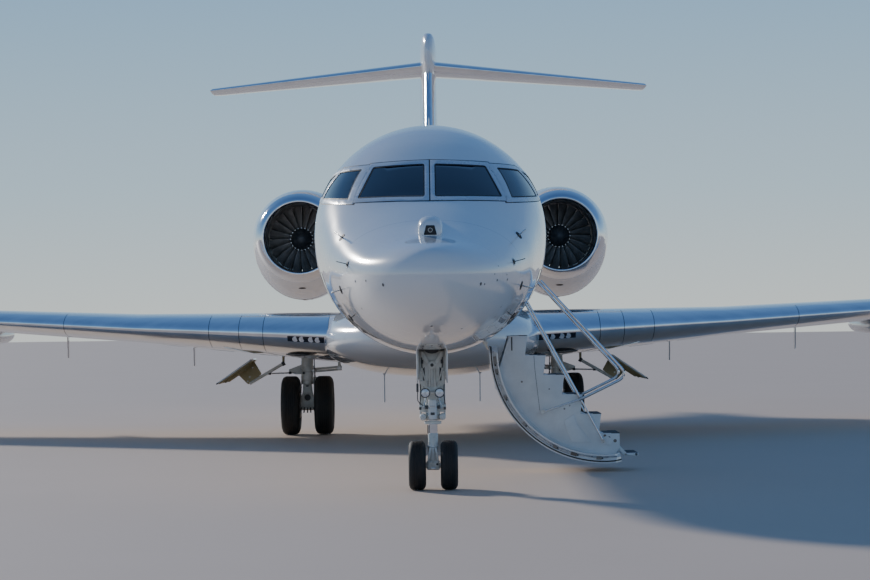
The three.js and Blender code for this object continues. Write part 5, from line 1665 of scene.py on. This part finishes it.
def make_stair_fittings():
    """Seams, bolts and boxes on the outside of the stringers."""
    details = []
    for side in (-1, 1):
        y = DOOR_MIDDLE + side * (STAIR_HALF + 0.0003)
        details.append(seam([(x, y, z) for x, z in STRINGER_SEAM], closed=False))
        lip = lowered_arc(LEAF_INNER - 0.035, -96, -158, 40)
        details.append(tube([(x, y, z) for x, z in lip], 0.004, lining, False, 2))
        for x, z, radius in STRINGER_BOLTS:
            details.append(
                rod((x, y - side * 0.004, z), (x, y + side * 0.003, z), radius, core_metal, sides=20)
            )
        box_outline = [(1.55, 0.60), (1.67, 0.68), (1.70, 0.555), (1.866, 0.345), (1.64, 0.345), (1.57, 0.50)]
        ys = sorted((y - side * 0.004, y + side * 0.009))
        details.append(eased(prism(box_outline, "xz", *ys, lining, 0.012), 0.003))
        # a thin black sheet on the stringer: painted shade of a slot
        slot = [(0.938, 1.44), (0.952, 1.44), (0.952, 1.60), (0.938, 1.60)]
        details.append(prism(slot, "xz", *sorted((y - side * 0.004, y + side * 0.002)), seal_black))
        boss = (RAIL_PIVOT[0], y, RAIL_PIVOT[1])
        details.append(rod(boss, (boss[0], y + side * 0.012, boss[2]), 0.03, lining, sides=32))
        pillar = [(1.985, 0.335), (2.10, 0.30), (2.13, 0.36), (2.06, 0.42), (1.99, 0.40)]
        details.append(
            eased(prism(pillar, "xz", *sorted((y - side * 0.004, y + side * 0.012)), lining, 0.01), 0.003)
        )
    piece("stair_fittings", details, "door", "door_lining")


def make_foot_step():
    board = across([(2.262, 0.212), (2.430, 0.212), (2.430, 0.178), (2.262, 0.178)], -0.296, 0.296, lining)
    foot = [eased(board, 0.006), cross_rod(FOOT_PIVOT, 0.316, 0.0095, steel)]
    arm = [(2.163, 0.312), (2.192, 0.318), (2.285, 0.212), (2.300, 0.178), (2.262, 0.178), (2.163, 0.282)]
    for low in (-0.296, 0.282):
        foot.append(eased(across(arm, low, low + 0.014, lining), 0.003))
        y = DOOR_MIDDLE + low
        foot.append(rod((2.40, y, 0.195), (2.40, y + 0.014, 0.195), 0.014, plastic))
    foot.append(bar((2.275, DOOR_MIDDLE - 0.28, 0.2115), (2.422, DOOR_MIDDLE + 0.28, 0.2145), grip, 0.001))
    piece("foot_plate", foot, "foot_step", "door_lining", "foot_step")


def make_rails():
    rails = [cross_rod(RAIL_PIVOT, RAIL_OUT, 0.0138, chromed)]
    braces = [cross_rod(BRACE_PIVOT, BRACE_OUT, 0.0108, chromed)]
    for side in (-1, 1):
        y = DOOR_MIDDLE + side * RAIL_OUT
        rails.append(tube(bent([(x, y, z) for x, z in RAIL_PATH], 0.045), 0.017, chromed, False, 5))
        rails.append(rod((1.75, y, 0.86), (RAIL_PIVOT[0], y, RAIL_PIVOT[1]), 0.010, chromed))
        rails.append(rod((1.775, y, 0.872), (1.725, y, 0.852), 0.02, steel))
        x, z = RAIL_PIVOT
        rails.append(rod((x, y - 0.012, z), (x, y + 0.012, z), 0.026, steel))
        rails.append(rod((1.746, y + side * 0.014, 0.862), (1.746, y - side * 0.03, 0.862), 0.011, steel))
        y = DOOR_MIDDLE + side * BRACE_OUT
        braces.append(tube([(x, y, z) for x, z in BRACE_PATH[:2]], 0.014, chromed, False, 5))
        braces.append(rod((1.742, y, 0.872), (BRACE_PIVOT[0], y, BRACE_PIVOT[1]), 0.009, chromed))
        braces.append(rod((1.73, y, 0.895), (1.756, y, 0.845), 0.018, steel))
        braces.append(rod((2.010, y - 0.01, 0.362), (2.010, y + 0.01, 0.362), 0.02, steel))
    piece("rail_tubes", rails, "handrails", "chrome", "handrails")
    piece("brace_tubes", braces, "handrail_braces", "chrome", "handrail_braces")


# Landing gear

NOSE_GEAR_Y = along(2.4)
MAIN_GEAR = (2.03, along(15.2))
# radius, width, rim radius, distance of its middle from the leg's
NOSE_WHEEL = (0.2625, 0.184, 0.140, 0.170)
MAIN_WHEEL = (0.4758, 0.305, 0.250, 0.270)


def tyre(size, groove):
    """A tyre about the X axis: round sidewalls, ribs at the rim, and grooves round the tread."""
    radius, width, rim, _ = size
    half = width / 2
    rise = radius - rim
    side = [
        (rim, 0.70), (rim + 0.06 * rise, 0.79), (rim + 0.12 * rise, 0.80), (rim + 0.14 * rise, 0.86),
        (rim + 0.3 * rise, 0.96), (rim + 0.45 * rise, 1.0), (rim + 0.6 * rise, 0.985),
        (rim + 0.76 * rise, 0.91), (rim + 0.88 * rise, 0.80), (rim + 0.95 * rise, 0.67),
        (rim + 0.985 * rise, 0.53),
    ]
    tread = []
    for place in (-0.42, -0.21, 0.0, 0.21, 0.42):
        crown = radius - 0.04 * rise * place ** 2
        for reach, depth in ((-0.035, 0), (-0.022, groove), (0.022, groove), (0.035, 0)):
            tread.append((crown - depth, place + reach))
    profile = [(r, -share * half) for r, share in side] + [(r, share * half) for r, share in tread]
    profile += [(r, share * half) for r, share in side[::-1]]
    return turned(profile, rubber, axis="X", steps=96)


def hub(size, holes, look):
    """A wheel about the X axis, its outer face towards +X, with a ring of holes."""
    _, width, rim, _ = size
    half, fit = width / 2, rim - 0.001
    outer = [
        (0.0, 0.58), (0.13, 0.58), (0.17, 0.5), (0.3, 0.46), (0.42, 0.26), (0.7, 0.2), (0.78, 0.3),
        (0.84, 0.58), (0.92, 0.62), (0.95, 0.74), (1.0, 0.74),
    ]
    inner = [(1.0, -0.74), (0.95, -0.74), (0.9, -0.6), (0.8, -0.24), (0.5, -0.16), (0.3, -0.3), (0.0, -0.3)]
    disc = turned(
        [(share * fit, place * half) for share, place in outer + inner], look, axis="X", steps=72,
        looped=False,
    )
    tools, bolts = [], []
    for i in range(holes):
        angle = 2 * pi * i / holes
        spot = Vector((0, cos(angle), sin(angle))) * fit
        tools.append(
            rod(
                spot * 0.6 + Vector((-half, 0, 0)), spot * 0.6 + Vector((half, 0, 0)), 0.1 * fit, look,
                sides=16,
            )
        )
        turn = Matrix.Rotation(pi / holes, 3, "X")
        bolt = (turn @ spot) * 0.87
        bolts.append(
            rod(
                bolt + Vector((half * 0.5, 0, 0)), bolt + Vector((half * 0.66, 0, 0)), 0.035 * fit, steel,
                sides=6,
            )
        )
    cut(disc, joined(tools))
    eased(disc, 0.0015, 1, 40)
    return joined([disc, *bolts, rod((half * 0.5, 0, 0), (half * 0.66, 0, 0), 0.1 * fit, steel, sides=24)])


def wheels(name, body, size, place, axle, holes, groove, nodes):
    """Both wheels of a leg with their axle. The nodes are its hubs and its left and right tyres."""
    radius, _, _, offset = size
    x, y = place
    hubs = [rod((x - offset, y, radius), (x + offset, y, radius), axle, steel)]
    for side, tyre_node in ((1, nodes[1]), (-1, nodes[2])):
        wheel = hub(size, holes, rim_metal)
        rubber_part = tyre(size, groove)
        if side < 0:
            wheel.data.transform(Matrix.Rotation(pi, 4, "Z"))
        for part in (wheel, rubber_part):
            moved(part, x + side * offset, y, radius)
        hubs.append(wheel)
        piece(
            f"{name}_rubber_{'left' if side > 0 else 'right'}", rubber_part, body, "tyre", tyre_node,
            angle=30,
        )
    piece(f"{name}_wheels", hubs, body, "rim_metal", nodes[0])


def ribbed_tube(steps, look, middle=(0, 0, 0), axis="Z", sides=48):
    """A turned casting from (distance along, radius) steps."""
    profile = [(0.0, steps[0][0]), *[(radius, place) for place, radius in steps], (0.0, steps[-1][0])]
    return turned(profile, look, middle, axis, sides, False)


def bolts_on(points, direction, radius):
    half = Vector(direction) / 2
    return [rod(Vector(point) - half, Vector(point) + half, radius, steel, sides=6) for point in points]


def mirrored_parts(parts):
    """Parts and their mirror images as one."""
    one = joined(parts)
    return [one, twin(one)]


def torque_link(outline, slot, edge):
    """A forked link behind a leg, cut through between two corners of its slot."""
    link = prism(outline, "yz", -0.044, 0.044, gear_white)
    cut(link, block(*slot))
    return eased(link, edge)


def nose_casting():
    """The leg's casting and the yoke that carries it, with struts, hoses and side plates."""
    casting = ribbed_tube(
        [
            (0.745, 0.072), (0.75, 0.088), (0.79, 0.088), (0.80, 0.078), (0.93, 0.078), (0.94, 0.086),
            (0.98, 0.086), (0.99, 0.072), (1.10, 0.07), (1.12, 0.078), (1.30, 0.078), (1.88, 0.078),
        ],
        gear_white,
    )
    yoke = prism(
        [(-0.14, 1.48), (0.14, 1.48), (0.135, 1.13), (0.06, 1.08), (-0.06, 1.08), (-0.135, 1.13)], "xz",
        -0.096, -0.06, gear_white, 0.018,
    )
    slots = [
        prism(
            [(side * 0.074, 1.165), (side * 0.098, 1.165), (side * 0.098, 1.29), (side * 0.08, 1.31)], "xz",
            -0.2, 0.0,
        )
        for side in (-1, 1)
    ]
    cut(yoke, *slots)
    eased(yoke, 0.005)
    arms = [
        prism(
            [(0.128, 1.475), (0.094, 1.475), (0.016, 1.35), (0.034, 1.31), (0.112, 1.41)], "xz", -0.118,
            -0.09, gear_white, 0.006,
        )
    ]
    arms += [
        rod((0.055, -0.105, 1.11), (0.112, -0.105, 1.30), 0.009, gear_white),
        rod((0.024, -0.11, 1.31), (0.03, -0.11, 1.1), 0.011, gear_white),
    ]
    arms = mirrored_parts([eased(arms[0], 0.004), *arms[1:]])
    # a thin black plate behind the yoke, seen only through its slots: painted shade in the slots
    arms.append(block((-0.115, -0.062, 1.15), (0.115, -0.058, 1.33), plastic))
    for side in (-1, 1):
        hose = [
            (side * 0.098, -0.1, 1.43), (side * 0.118, -0.122, 1.40), (side * 0.10, -0.128, 1.37),
            (side * 0.112, -0.12, 1.33), (side * 0.104, -0.10, 1.29),
        ]
        arms.append(tube(hose, 0.006, plastic))
        arms.append(
            bar(
                (side * 0.105 - 0.012, -0.118, 1.345), (side * 0.105 + 0.012, -0.094, 1.385), plastic, 0.003,
            )
        )
        cheek = prism(
            [
                (side * 0.062, 1.20), (side * 0.138, 1.20), (side * 0.138, 0.94), (side * 0.115, 0.885),
                (side * 0.062, 0.90),
            ],
            "xz", 0.055, 0.068, gear_white, 0.008,
        )
        arms.append(eased(cheek, 0.004))
    return [casting, yoke, *arms]


def nose_head():
    """The trunnion on top of the leg, and the boss and stem ahead of it."""
    boss = ribbed_tube(
        [(-0.135, 0.03), (-0.13, 0.045), (-0.09, 0.045), (-0.06, 0.04)], gear_white, (0, 0, 1.33), "Y", 32,
    )
    # a dark disc on the end of the boss: painted shade of the hole in it
    hole = rod((0, -0.137, 1.33), (0, -0.12, 1.33), 0.018, plastic)
    crescent = prism(
        [
            (-0.072, 1.492), (-0.068, 1.47), (-0.04, 1.456), (0.0, 1.45), (0.04, 1.456), (0.068, 1.47),
            (0.072, 1.492),
        ],
        "xz", -0.1, -0.09, plastic,
    )
    trunnion = rod((-0.1495, 0, 1.5), (0.1495, 0, 1.5), 0.045, gear_white, sides=32)
    stem = prism(
        [(-0.055, 1.10), (0.055, 1.10), (0.05, 0.96), (0.036, 0.90), (-0.036, 0.90), (-0.05, 0.96)], "xz",
        -0.10, -0.05, gear_white, 0.008,
    )
    return [boss, hole, crescent, trunnion, eased(stem, 0.005)]


def nose_lamps():
    """The bar ahead of the leg with its two lamps."""
    lamp_bar = block((-0.118, -0.135, 1.022), (0.118, -0.06, 1.050), gear_white)
    lamps = []
    for x in (-0.076, 0.076):
        middle = (x, 0, 1.036)
        lamps.append(
            turned(
                [
                    (0.0, -0.10), (0.034, -0.105), (0.046, -0.15), (0.050, -0.186), (0.047, -0.19),
                    (0.044, -0.182), (0.0, -0.18),
                ],
                gear_white, middle, steps=48, looped=False,
            )
        )
        lamps.append(
            turned(
                [(0.043, -0.183), (0.052, -0.183), (0.052, -0.194), (0.046, -0.196), (0.043, -0.192)],
                plastic, middle, steps=48,
            )
        )
        lamps.append(
            turned(
                [(0.0, -0.194), (0.02, -0.193), (0.043, -0.188), (0.043, -0.178), (0.0, -0.176)],
                lamp_glass, middle, steps=48, looped=False,
            )
        )
        lamps += [
            rod((x, -0.196, 1.036), (x, -0.19, 1.036), 0.010, steel),
            rod((x * 0.6, -0.08, 1.02), (x * 0.3, -0.05, 0.93), 0.012, gear_white),
        ]
    return [eased(lamp_bar, 0.005), *lamps]


def nose_collar():
    """The steering collar, and the actuators and lines on both of its sides."""
    collar = [
        ribbed_tube(
            [
                (0.752, 0.03), (0.757, 0.046), (0.84, 0.046), (0.845, 0.05), (0.87, 0.05), (0.875, 0.046),
                (0.955, 0.046), (0.965, 0.036),
            ],
            lining, (0, -0.098, 0),
        ),
        bar((-0.022, -0.148, 0.80), (0.022, -0.138, 0.828), plastic, 0.003),
        bar((-0.03, -0.148, 0.885), (0.03, -0.138, 0.90), steel, 0.003),
        plate(
            [(-0.143, 0.915), (0.143, 0.915), (0.143, 0.86), (0.12, 0.83), (-0.12, 0.83), (-0.143, 0.86)],
            -0.06, 0.07, gear_white, 0.005, 0.012,
        ),
        ribbed_tube(
            [(-0.115, 0.02), (-0.11, 0.042), (-0.05, 0.05), (0.05, 0.05)], gear_white, (0, 0, 0.80), "Y", 32,
        ),
    ]
    actuator = [
        ribbed_tube(
            [(-0.125, 0.012), (-0.12, 0.03), (-0.09, 0.036), (0.09, 0.036), (0.12, 0.03)], gear_white,
            (0.104, 0, 0.778), "Y", 32,
        ),
        rod((0.104, -0.14, 0.778), (0.104, -0.12, 0.778), 0.012, steel),
        bar((0.118, -0.1, 0.855), (0.143, -0.07, 0.885), plastic, 0.003),
        rod((0.09, -0.105, 0.90), (0.06, -0.10, 1.0), 0.009, steel),
        bar((0.05, -0.118, 0.865), (0.08, -0.06, 0.90), plastic, 0.003),
        rod((0.128, -0.02, 0.76), (0.128, -0.02, 0.93), 0.011, steel),
        tube(
            [(0.118, -0.06, 1.30), (0.128, -0.085, 1.15), (0.12, -0.09, 1.0), (0.135, -0.06, 0.91)], 0.006,
            plastic,
        ),
        tube(
            [(0.10, -0.07, 1.16), (0.09, -0.085, 1.08), (0.066, -0.09, 0.98), (0.09, -0.1, 0.87)], 0.005,
            steel,
        ),
    ]
    return [*collar, *mirrored_parts(actuator)]


def nose_doors():
    """The doors on both sides of the leg and its drag brace, with the box, pipes and bolts between them."""
    doors = prism(
        [(-0.33, 1.60), (0.34, 1.60), (0.34, 1.19), (0.29, 1.14), (-0.27, 1.14), (-0.33, 1.20)], "yz",
        0.150, 0.166, skin_paint,
    )
    door_parts = [
        eased(doors, 0.005),
        bar((0.140, -0.30, 1.17), (0.150, 0.30, 1.19), gear_white, 0.003),
        rod((0.145, -0.22, 1.2), (0.145, -0.22, 1.5), 0.008, gear_white),
        rod((0.145, 0.22, 1.2), (0.145, 0.22, 1.5), 0.008, gear_white),
        rod((0.0, 0.03, 1.23), (0.15, 0.03, 1.23), 0.014, gear_white),
    ]
    brace = [
        rod((0.06, 0.06, 1.26), (0.06, 0.34, 1.70), 0.023, gear_white),
        rod((0.06, 0.05, 1.25), (0.0, 0.05, 1.25), 0.026, gear_white),
        rod((0.0, 0.2, 1.48), (0.06, 0.2, 1.48), 0.016, steel),
    ]
    black_box = bar((-0.17, -0.10, 1.045), (-0.146, -0.02, 1.135), plastic, 0.004)
    pipes = [
        tube(
            [(-0.155, -0.06, 1.05), (-0.162, -0.055, 0.98), (-0.15, -0.05, 0.93), (-0.10, -0.06, 0.90)],
            0.005, plastic,
        ),
        tube([(-0.045, -0.09, 1.2), (-0.05, -0.1, 1.05), (-0.045, -0.1, 0.95)], 0.004, steel),
    ]
    bolts = bolts_on([(x, -0.1, z) for x in (-0.115, 0.115) for z in (1.16, 1.27, 1.4)], (0, 0.02, 0), 0.010)
    return [*mirrored_parts(door_parts), *mirrored_parts(brace), black_box, *pipes, *bolts]


def make_nose_gear():
    parts = [*nose_casting(), *nose_head(), *nose_lamps(), *nose_collar(), *nose_doors()]
    piece("nose_leg_casting", moved(joined(parts), 0, NOSE_GEAR_Y, 0), "airframe", "gear_paint", "nose_leg")


def make_nose_fork():
    """The sliding piston with its torque links, and the wheels on it."""
    axle = NOSE_WHEEL[0]
    fork = [
        ribbed_tube([(0.60, 0.049), (0.88, 0.049)], chromed),
        ribbed_tube(
            [
                (0.27, 0.05), (0.45, 0.052), (0.455, 0.06), (0.475, 0.06), (0.48, 0.053), (0.60, 0.053),
                (0.605, 0.05),
            ],
            gear_white,
        ),
        ribbed_tube([(0.700, 0.08), (0.703, 0.092), (0.732, 0.092), (0.735, 0.08)], gear_white),
        ribbed_tube(
            [(-0.072, 0.042), (-0.068, 0.046), (0.068, 0.046), (0.072, 0.042)], gear_white, (0, 0, axle),
            "X",
        ),
        bar((-0.066, -0.062, axle - 0.05), (0.066, 0.05, axle + 0.05), gear_white, 0.014, 3),
        # a dark disc on the axle block: painted shade of a hole in it
        rod((0.042, -0.066, axle + 0.012), (0.042, -0.05, axle + 0.012), 0.012, plastic),
        bar((-0.03, -0.075, axle - 0.045), (0.03, -0.05, axle - 0.02), steel, 0.005),
        rod((-0.052, -0.03, 0.60), (-0.052, -0.03, 0.69), 0.007, plastic),
    ]
    link = [
        prism(
            [(0.014, 0.448), (0.040, 0.452), (0.064, axle + 0.04), (0.046, axle + 0.03)], "xz", -0.078,
            -0.052, gear_white,
        ),
        prism(
            [(0.0, 0.45), (0.010, 0.45), (0.010, axle + 0.03), (0.0, axle + 0.03)], "xz", -0.07, -0.045,
            gear_white,
        ),
    ]
    fork += mirrored_parts([eased(part, 0.003) for part in link])
    lower = [
        (0.03, axle + 0.01), (0.175, 0.480), (0.205, 0.500), (0.195, 0.515), (0.155, 0.505),
        (0.02, axle + 0.06),
    ]
    upper = [(0.155, 0.505), (0.205, 0.500), (0.195, 0.530), (0.060, 0.735), (0.040, 0.700)]
    slot = ((-0.028, -1, axle + 0.09), (0.028, 1, 0.655))
    fork += [torque_link(outline, slot, 0.004) for outline in (lower, upper)]
    fork.append(rod((-0.052, 0.19, 0.503), (0.052, 0.19, 0.503), 0.014, steel))
    piece("nose_piston", moved(joined(fork), 0, NOSE_GEAR_Y, 0), "nose_steering", "gear_paint", "nose_fork")
    nodes = ("nose_wheel_hubs", "nose_tyre_left", "nose_tyre_right")
    wheels("nose", "nose_wheels", NOSE_WHEEL, (0, NOSE_GEAR_Y), 0.029, 8, 0.005, nodes)


def main_casting():
    """The leg's casting with its shoe and its lines."""
    axle = MAIN_WHEEL[0]
    leg = [
        ribbed_tube(
            [
                (0.815, 0.09), (0.82, 0.108), (0.875, 0.108), (0.885, 0.098), (1.02, 0.098), (1.03, 0.106),
                (1.06, 0.106), (1.07, 0.098), (1.6, 0.098),
            ],
            gear_white,
        ),
        ribbed_tube([(0.69, 0.066), (0.83, 0.066)], gear_white),
        ribbed_tube(
            [(-0.108, 0.078), (-0.102, 0.084), (0.102, 0.084), (0.108, 0.078)], gear_white, (0, 0, axle),
            "X",
        ),
    ]
    shoe = prism(
        [
            (-0.1, axle - 0.07), (-0.1, 0.60), (-0.078, 0.70), (-0.07, 0.815), (0.07, 0.815), (0.078, 0.70),
            (0.1, 0.60), (0.1, axle - 0.07),
        ],
        "xz", -0.08, 0.075, gear_white,
    )
    cut(shoe, rod((0, -0.2, 0.602), (0, -0.06, 0.602), 0.058, gear_white, sides=32))
    leg.append(eased(shoe, 0.012, 3))
    # a dark disc on the floor of the shallow round recess in the shoe: painted shade
    leg.append(rod((0, -0.0605, 0.602), (0, -0.055, 0.602), 0.058, plastic, sides=32))
    leg += [
        bar((-0.125, -0.10, axle - 0.035), (0.125, -0.075, axle + 0.06), gear_white, 0.008),
        rod((0.055, -0.112, 1.0), (0.055, -0.09, 1.0), 0.02, plastic),
        rod((-0.02, -0.085, 0.79), (0.02, -0.085, 0.79), 0.012, plastic),
        ribbed_tube(
            [(0.60, 0.02), (0.61, 0.026), (0.93, 0.026), (0.94, 0.02)], gear_white, (-0.125, -0.03, 0), "Z",
            24,
        ),
        rod((-0.125, -0.03, 0.94), (-0.11, -0.02, 1.12), 0.012, steel),
        tube(
            [
                (-0.11, -0.09, 1.3), (-0.13, -0.11, 1.1), (-0.115, -0.12, 0.9), (-0.13, -0.11, 0.66),
                (-0.11, -0.10, 0.5),
            ],
            0.007, plastic,
        ),
        tube(
            [(0.085, -0.09, 1.25), (0.1, -0.105, 1.0), (0.09, -0.11, 0.8), (0.105, -0.10, 0.6)], 0.006,
            steel,
        ),
        plate(
            [(0.09, 1.14), (0.30, 1.06), (0.30, 1.03), (0.20, 0.98), (0.09, 0.98)], -0.05, -0.025,
            gear_white, 0.004, 0.01,
        ),
    ]
    for x in (-0.1, -0.045, 0.0, 0.05, 0.1):
        leg.append(rod((x, -0.09, axle - 0.035), (x * 1.2, -0.11, axle - 0.12), 0.011, plastic))
    return leg


BRAKE = [(0.07, 0.112), (0.19, 0.112), (0.2, 0.118), (0.2, 0.150), (0.07, 0.150)]
BRAKE_PISTONS = 8
PISTON_CIRCLE = 0.145


def brakes():
    """The stacks of discs inside both wheels, each with a ring of pistons."""
    axle = MAIN_WHEEL[0]
    parts = []
    for side in (-1, 1):
        profile = [(radius, side * place) for radius, place in BRAKE]
        parts.append(turned(profile, core_metal, (0, 0, axle), "X", 64))
        for i in range(BRAKE_PISTONS):
            angle = 2 * pi * i / BRAKE_PISTONS
            spot = Vector((side * 0.106, PISTON_CIRCLE * cos(angle), axle + PISTON_CIRCLE * sin(angle)))
            parts.append(rod(spot, spot + Vector((side * 0.01, 0, 0)), 0.022, steel, sides=16))
    return parts


def main_links():
    """The torque links behind the leg, and the strut that holds it inboard."""
    axle = MAIN_WHEEL[0]
    slot = ((-0.018, -1, axle + 0.12), (0.018, 1, 0.87))
    lower = [
        (0.040, axle + 0.02), (0.235, 0.68), (0.27, 0.70), (0.262, 0.725), (0.215, 0.705),
        (0.03, axle + 0.08),
    ]
    upper = [(0.215, 0.705), (0.27, 0.70), (0.26, 0.735), (0.08, 0.96), (0.06, 0.925)]
    parts = [torque_link(outline, slot, 0.005) for outline in (lower, upper)]
    parts.append(rod((-0.054, 0.25, 0.705), (0.054, 0.25, 0.705), 0.018, steel))
    for side in (-1, 1):
        rise = side * 0.02
        parts.append(
            rod((-0.06, side * 0.045, 1.04 + rise), (-0.56, side * 0.018, 1.075 + rise), 0.019, gear_white)
        )
        parts.append(rod((-0.10, side * 0.045, 1.043), (-0.16, side * 0.042, 1.047), 0.024, steel))
    parts.append(rod((-0.52, 0, 1.073), (-0.52, 0, 1.45), 0.025, gear_white))
    parts.append(rod((-0.52, -0.06, 1.073), (-0.52, 0.06, 1.073), 0.03, steel))
    parts.append(rod((-0.1, -0.07, 1.04), (-0.1, 0.07, 1.04), 0.02, steel))
    return parts


def make_main_gear():
    leg = moved(joined([*main_casting(), *brakes(), *main_links()]), *MAIN_GEAR, 0)
    pair("main_leg_casting", leg, "airframe", "gear_paint", "main_leg_port")


def make_main_doors():
    """The door that hangs outboard of each main leg, with its beam and strut."""
    panel_part = prism(
        [(1.425, 0.842), (1.440, 0.862), (0.880, 1.245), (0.862, 1.225)], "xz", -0.52, 0.52, skin_paint,
    )
    backing = prism(
        [(1.405, 0.858), (1.412, 0.866), (0.880, 1.227), (0.872, 1.217)], "xz", -0.50, 0.50, khaki,
    )
    tip = plate([(1.40, 0.862), (1.436, 0.838), (1.446, 0.854), (1.41, 0.878)], -0.522, 0.522, plastic, 0.004)
    door = [
        eased(panel_part, 0.005), moved(backing, -0.008, 0, -0.012), tip,
        plate(
            [(0.87, 1.228), (1.07, 1.09), (1.11, 0.98), (0.955, 0.824), (0.735, 0.995)], -0.150, -0.120,
            khaki, 0.005, 0.02,
        ),
        rod((0.930, -0.135, 0.842), (0.380, -0.135, 1.160), 0.026, gear_white),
        rod((0.40, -0.135, 1.148), (0.36, -0.135, 1.172), 0.036, plastic),
        rod((0.610, -0.135, 1.000), (0.097, -0.020, 1.010), 0.011, steel),
        rod((0.625, -0.138, 1.000), (0.585, -0.13, 1.0), 0.022, plastic),
        rod((0.30, -0.066, 1.005), (0.26, -0.057, 1.006), 0.02, plastic),
        rod((0.380, -0.135, 1.160), (0.380, -0.135, 1.45), 0.020, khaki),
    ]
    for y in (-0.3, 0.3):
        rib = prism(
            [(1.36, 0.875), (0.90, 1.19), (0.88, 1.14), (1.30, 0.86)], "xz", y - 0.01, y + 0.01, khaki,
        )
        door.append(eased(rib, 0.003))
    door += bolts_on(
        [(0.88, -0.155, 1.10), (0.93, -0.155, 0.95), (1.0, -0.155, 1.07), (0.96, -0.155, 0.88)],
        (0, 0.02, 0), 0.012,
    )
    pair("main_leg_door", moved(joined(door), *MAIN_GEAR, 0), "airframe", "primer", "main_gear_door_port")


def make_main_wheels():
    for side, sign in (("port", 1), ("starboard", -1)):
        wheels(
            f"main_{side}", f"main_wheels_{side}", MAIN_WHEEL, (sign * MAIN_GEAR[0], MAIN_GEAR[1]), 0.051,
            10, 0.009, (f"main_{side}_wheel_hubs", f"main_{side}_tyre_left", f"main_{side}_tyre_right"),
        )


# Camera, floor and light

CAMERA_PLACE = (0, -36.95, 1.755)
PICTURE_WIDTH = 870
FOCAL_PIXELS = 2270
SENSOR_WIDTH = 36
# degrees
CAMERA_PITCH = 0.88
CAMERA_YAW = -0.1
CAMERA_ROLL = -0.75


def make_camera():
    data = bpy.data.cameras.new("camera")
    data.sensor_width = SENSOR_WIDTH
    data.lens = FOCAL_PIXELS / PICTURE_WIDTH * data.sensor_width
    data.clip_end = 500
    camera = bpy.data.objects.new("camera", data)
    bpy.context.scene.collection.objects.link(camera)
    turn = Matrix.Rotation(radians(CAMERA_YAW), 3, "Z") @ Matrix.Rotation(radians(90 + CAMERA_PITCH), 3, "X")
    camera.matrix_world = Matrix.Translation(CAMERA_PLACE) @ (
        turn @ Matrix.Rotation(radians(CAMERA_ROLL), 3, "Z")
    ).to_4x4()
    bpy.context.scene.camera = camera


FLOOR_SIZE = 600
FLOOR_COLOUR = (0.60, 0.48, 0.39)
FLOOR_CLOUDS = ((0.592, 0.473, 0.383), (0.608, 0.487, 0.397))
# a direction towards the sun: behind the starboard wing, and low
SUN_FROM = (-1.49, 1.89, 1.0)
SUN_STRENGTH = 3.2
SUN_SPREAD = 5
SUN_COLOUR = (1.0, 0.96, 0.9)
# height above the horizon as a share of the way up, colour
SKY = [
    (0.0, (0.72, 0.76, 0.74)),
    (0.06, (0.50, 0.66, 0.76)),
    (0.15, (0.30, 0.50, 0.72)),
    (0.4, (0.11, 0.24, 0.5)),
    (1.0, (0.05, 0.12, 0.3)),
]


def make_stage():
    bpy.ops.mesh.primitive_plane_add(size=FLOOR_SIZE)
    floor = bpy.context.object
    floor.name = "floor"
    look = finish("pale floor", FLOOR_COLOUR, 0.7)
    floor.data.materials.append(clouded(look, 0.3, FLOOR_CLOUDS, (0.69, 0.71)))

    sun = bpy.data.lights.new("sun", "SUN")
    sun.energy = SUN_STRENGTH
    sun.angle = radians(SUN_SPREAD)
    sun.color = SUN_COLOUR
    lamp = bpy.data.objects.new("sun", sun)
    lamp.rotation_euler = Vector(SUN_FROM).to_track_quat("Z", "Y").to_euler()
    bpy.context.scene.collection.objects.link(lamp)

    world = bpy.data.worlds.new("studio")
    bpy.context.scene.world = world
    world.use_nodes = True
    tree = world.node_tree
    place = tree.nodes.new("ShaderNodeTexCoord")
    parts = tree.nodes.new("ShaderNodeSeparateXYZ")
    ramp = tree.nodes.new("ShaderNodeValToRGB")
    while len(ramp.color_ramp.elements) < len(SKY):
        ramp.color_ramp.elements.new(0.5)
    for stop, (where, colour) in zip(ramp.color_ramp.elements, SKY):
        stop.position = where
        stop.color = (*colour, 1)
    tree.links.new(place.outputs["Generated"], parts.inputs["Vector"])
    tree.links.new(parts.outputs["Z"], ramp.inputs["Fac"])
    tree.links.new(ramp.outputs["Color"], tree.nodes["Background"].inputs["Color"])
    tree.nodes["Background"].inputs["Strength"].default_value = 1.0


# What keeps its form from the frame, in its own finish
NODE_LOOKS = {
    "cabin_floor": trim, "instrument_panel": plastic, "crew_seats": leather, "door_shell": hull_paint,
    "airstair_steps": lining, "foot_step": lining, "handrails": chromed, "handrail_braces": chromed,
    "nose_leg": gear_white, "nose_fork": gear_white, "nose_wheel_hubs": rim_metal, "nose_tyre_left": rubber,
    "nose_tyre_right": rubber, "main_leg_port": gear_white, "main_leg_starboard": gear_white,
    "main_gear_door_port": khaki, "main_gear_door_starboard": khaki, "main_port_wheel_hubs": rim_metal,
    "main_starboard_wheel_hubs": rim_metal, "main_port_tyre_left": rubber, "main_port_tyre_right": rubber,
    "main_starboard_tyre_left": rubber, "main_starboard_tyre_right": rubber,
}


def dress_nodes():
    for name, look in NODE_LOOKS.items():
        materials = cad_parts[name].data.materials
        materials.clear()
        materials.append(look)


make_camera()
make_stage()
dress_nodes()
make_hull()
make_fairing()
make_wing()
make_tail()
make_engines()
make_fittings()
make_leaf()
make_stairs()
make_stair_fittings()
make_foot_step()
make_rails()
make_nose_gear()
make_nose_fork()
make_main_gear()
make_main_doors()
make_main_wheels()
